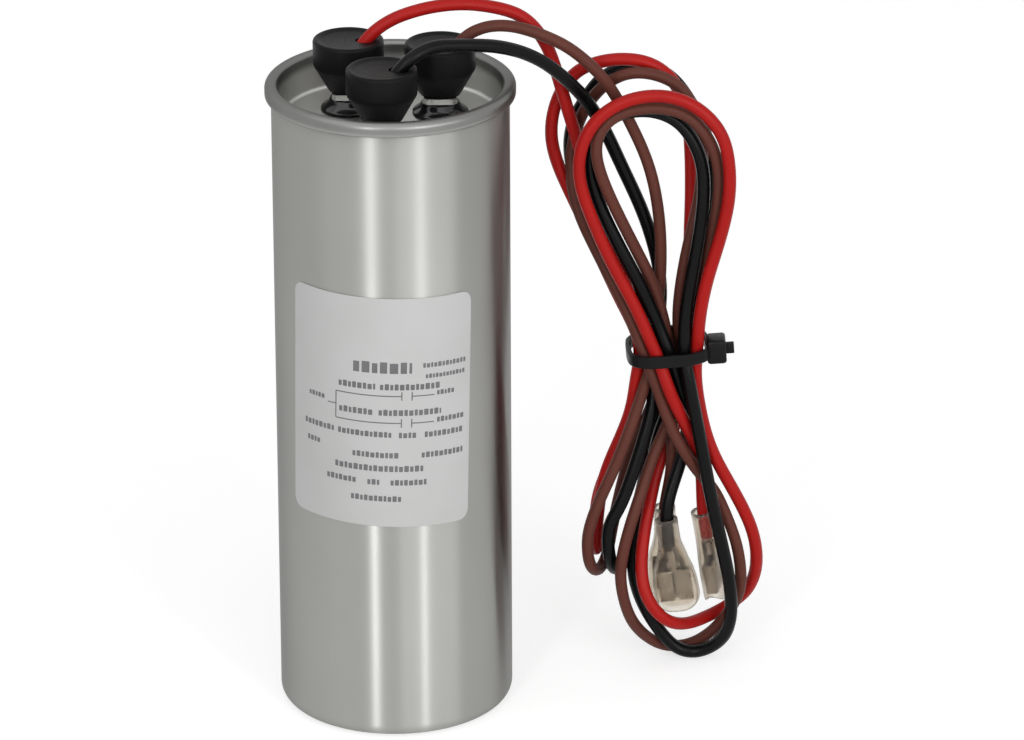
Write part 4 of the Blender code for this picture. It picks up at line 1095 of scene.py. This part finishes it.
# Floor, world and lamps
def seen_ray(tree):
    """1 for rays from the camera and for those that mirror or pass through."""
    path = tree.nodes.new("ShaderNodeLightPath")
    value = path.outputs["Is Camera Ray"]
    for name in ("Is Glossy Ray", "Is Transmission Ray"):
        most = tree.nodes.new("ShaderNodeMath")
        most.operation = "MAXIMUM"
        tree.links.new(value, most.inputs[0])
        tree.links.new(path.outputs[name], most.inputs[1])
        value = most.outputs[0]
    return value


FLOOR_SIZE = 6.0
FLOOR_LEVEL = -0.0002
FLOOR_COLOUR = (0.55, 0.55, 0.55)
FLOOR_GLOW = 0.62
WORLD_LIGHT = 0.33

floor_look = Nodes("floor_white")
floor_look.set(Base_Color=FLOOR_COLOUR, Roughness=0.9)
strength = floor_look.add("Math", operation="MULTIPLY")
floor_look.feed(strength.inputs[0], seen_ray(floor_look.tree))
floor_look.feed(strength.inputs[1], FLOOR_GLOW)
glow = floor_look.add("Emission")
floor_look.feed(glow.inputs["Strength"], strength.outputs[0])
both = floor_look.add("AddShader")
floor_look.feed(both.inputs[0], floor_look.shader.outputs[0])
floor_look.feed(both.inputs[1], glow.outputs[0])
floor_look.feed(floor_look.tree.nodes["Material Output"].inputs["Surface"], both.outputs[0])
bpy.ops.mesh.primitive_plane_add(size=FLOOR_SIZE, location=(0.0, 0.0, FLOOR_LEVEL))
floor = bpy.context.view_layer.objects.active
floor.name = "floor"
floor.data.materials.append(floor_look.material)

world = bpy.data.worlds.new("studio")
world.use_nodes = True
bpy.context.scene.world = world
tree = world.node_tree
background = tree.nodes["Background"]
background.inputs["Color"].default_value = (1.0, 1.0, 1.0, 1.0)
level = tree.nodes.new("ShaderNodeMapRange")
level.inputs["To Min"].default_value = WORLD_LIGHT
level.inputs["To Max"].default_value = 1.0
tree.links.new(seen_ray(tree), level.inputs["Value"])
tree.links.new(level.outputs["Result"], background.inputs["Strength"])


def lamp(name, azimuth, elevation, distance, width, height, power):
    """A soft box that faces the object; azimuth 0 stands in front, and grows toward +X."""
    data = bpy.data.lights.new(name, "AREA")
    data.shape = "RECTANGLE"
    data.size = width
    data.size_y = height
    data.energy = power
    item = place_in_scene(bpy.data.objects.new(name, data))
    turn = math.radians(azimuth)
    rise = math.radians(elevation)
    flat = math.cos(rise)
    away = Vector((math.sin(turn) * flat, -math.cos(turn) * flat, math.sin(rise)))
    item.location = Vector((0.02, 0.0, 0.075)) + away * distance
    item.rotation_euler = (-away).to_track_quat("-Z", "Y").to_euler()


lamp("strip_left", -19.0, 12.0, 3.0, 0.25, 2.25, 26.5)
lamp("strip_right", 28.0, 12.0, 3.0, 0.2, 2.25, 16.0)
lamp("panel_right", 34.0, 12.0, 3.1, 3.4, 2.25, 45.0)
lamp("top_box", -30.0, 62.0, 1.6, 2.4, 2.4, 12.0)

bpy.context.scene.view_settings.view_transform = "Standard"

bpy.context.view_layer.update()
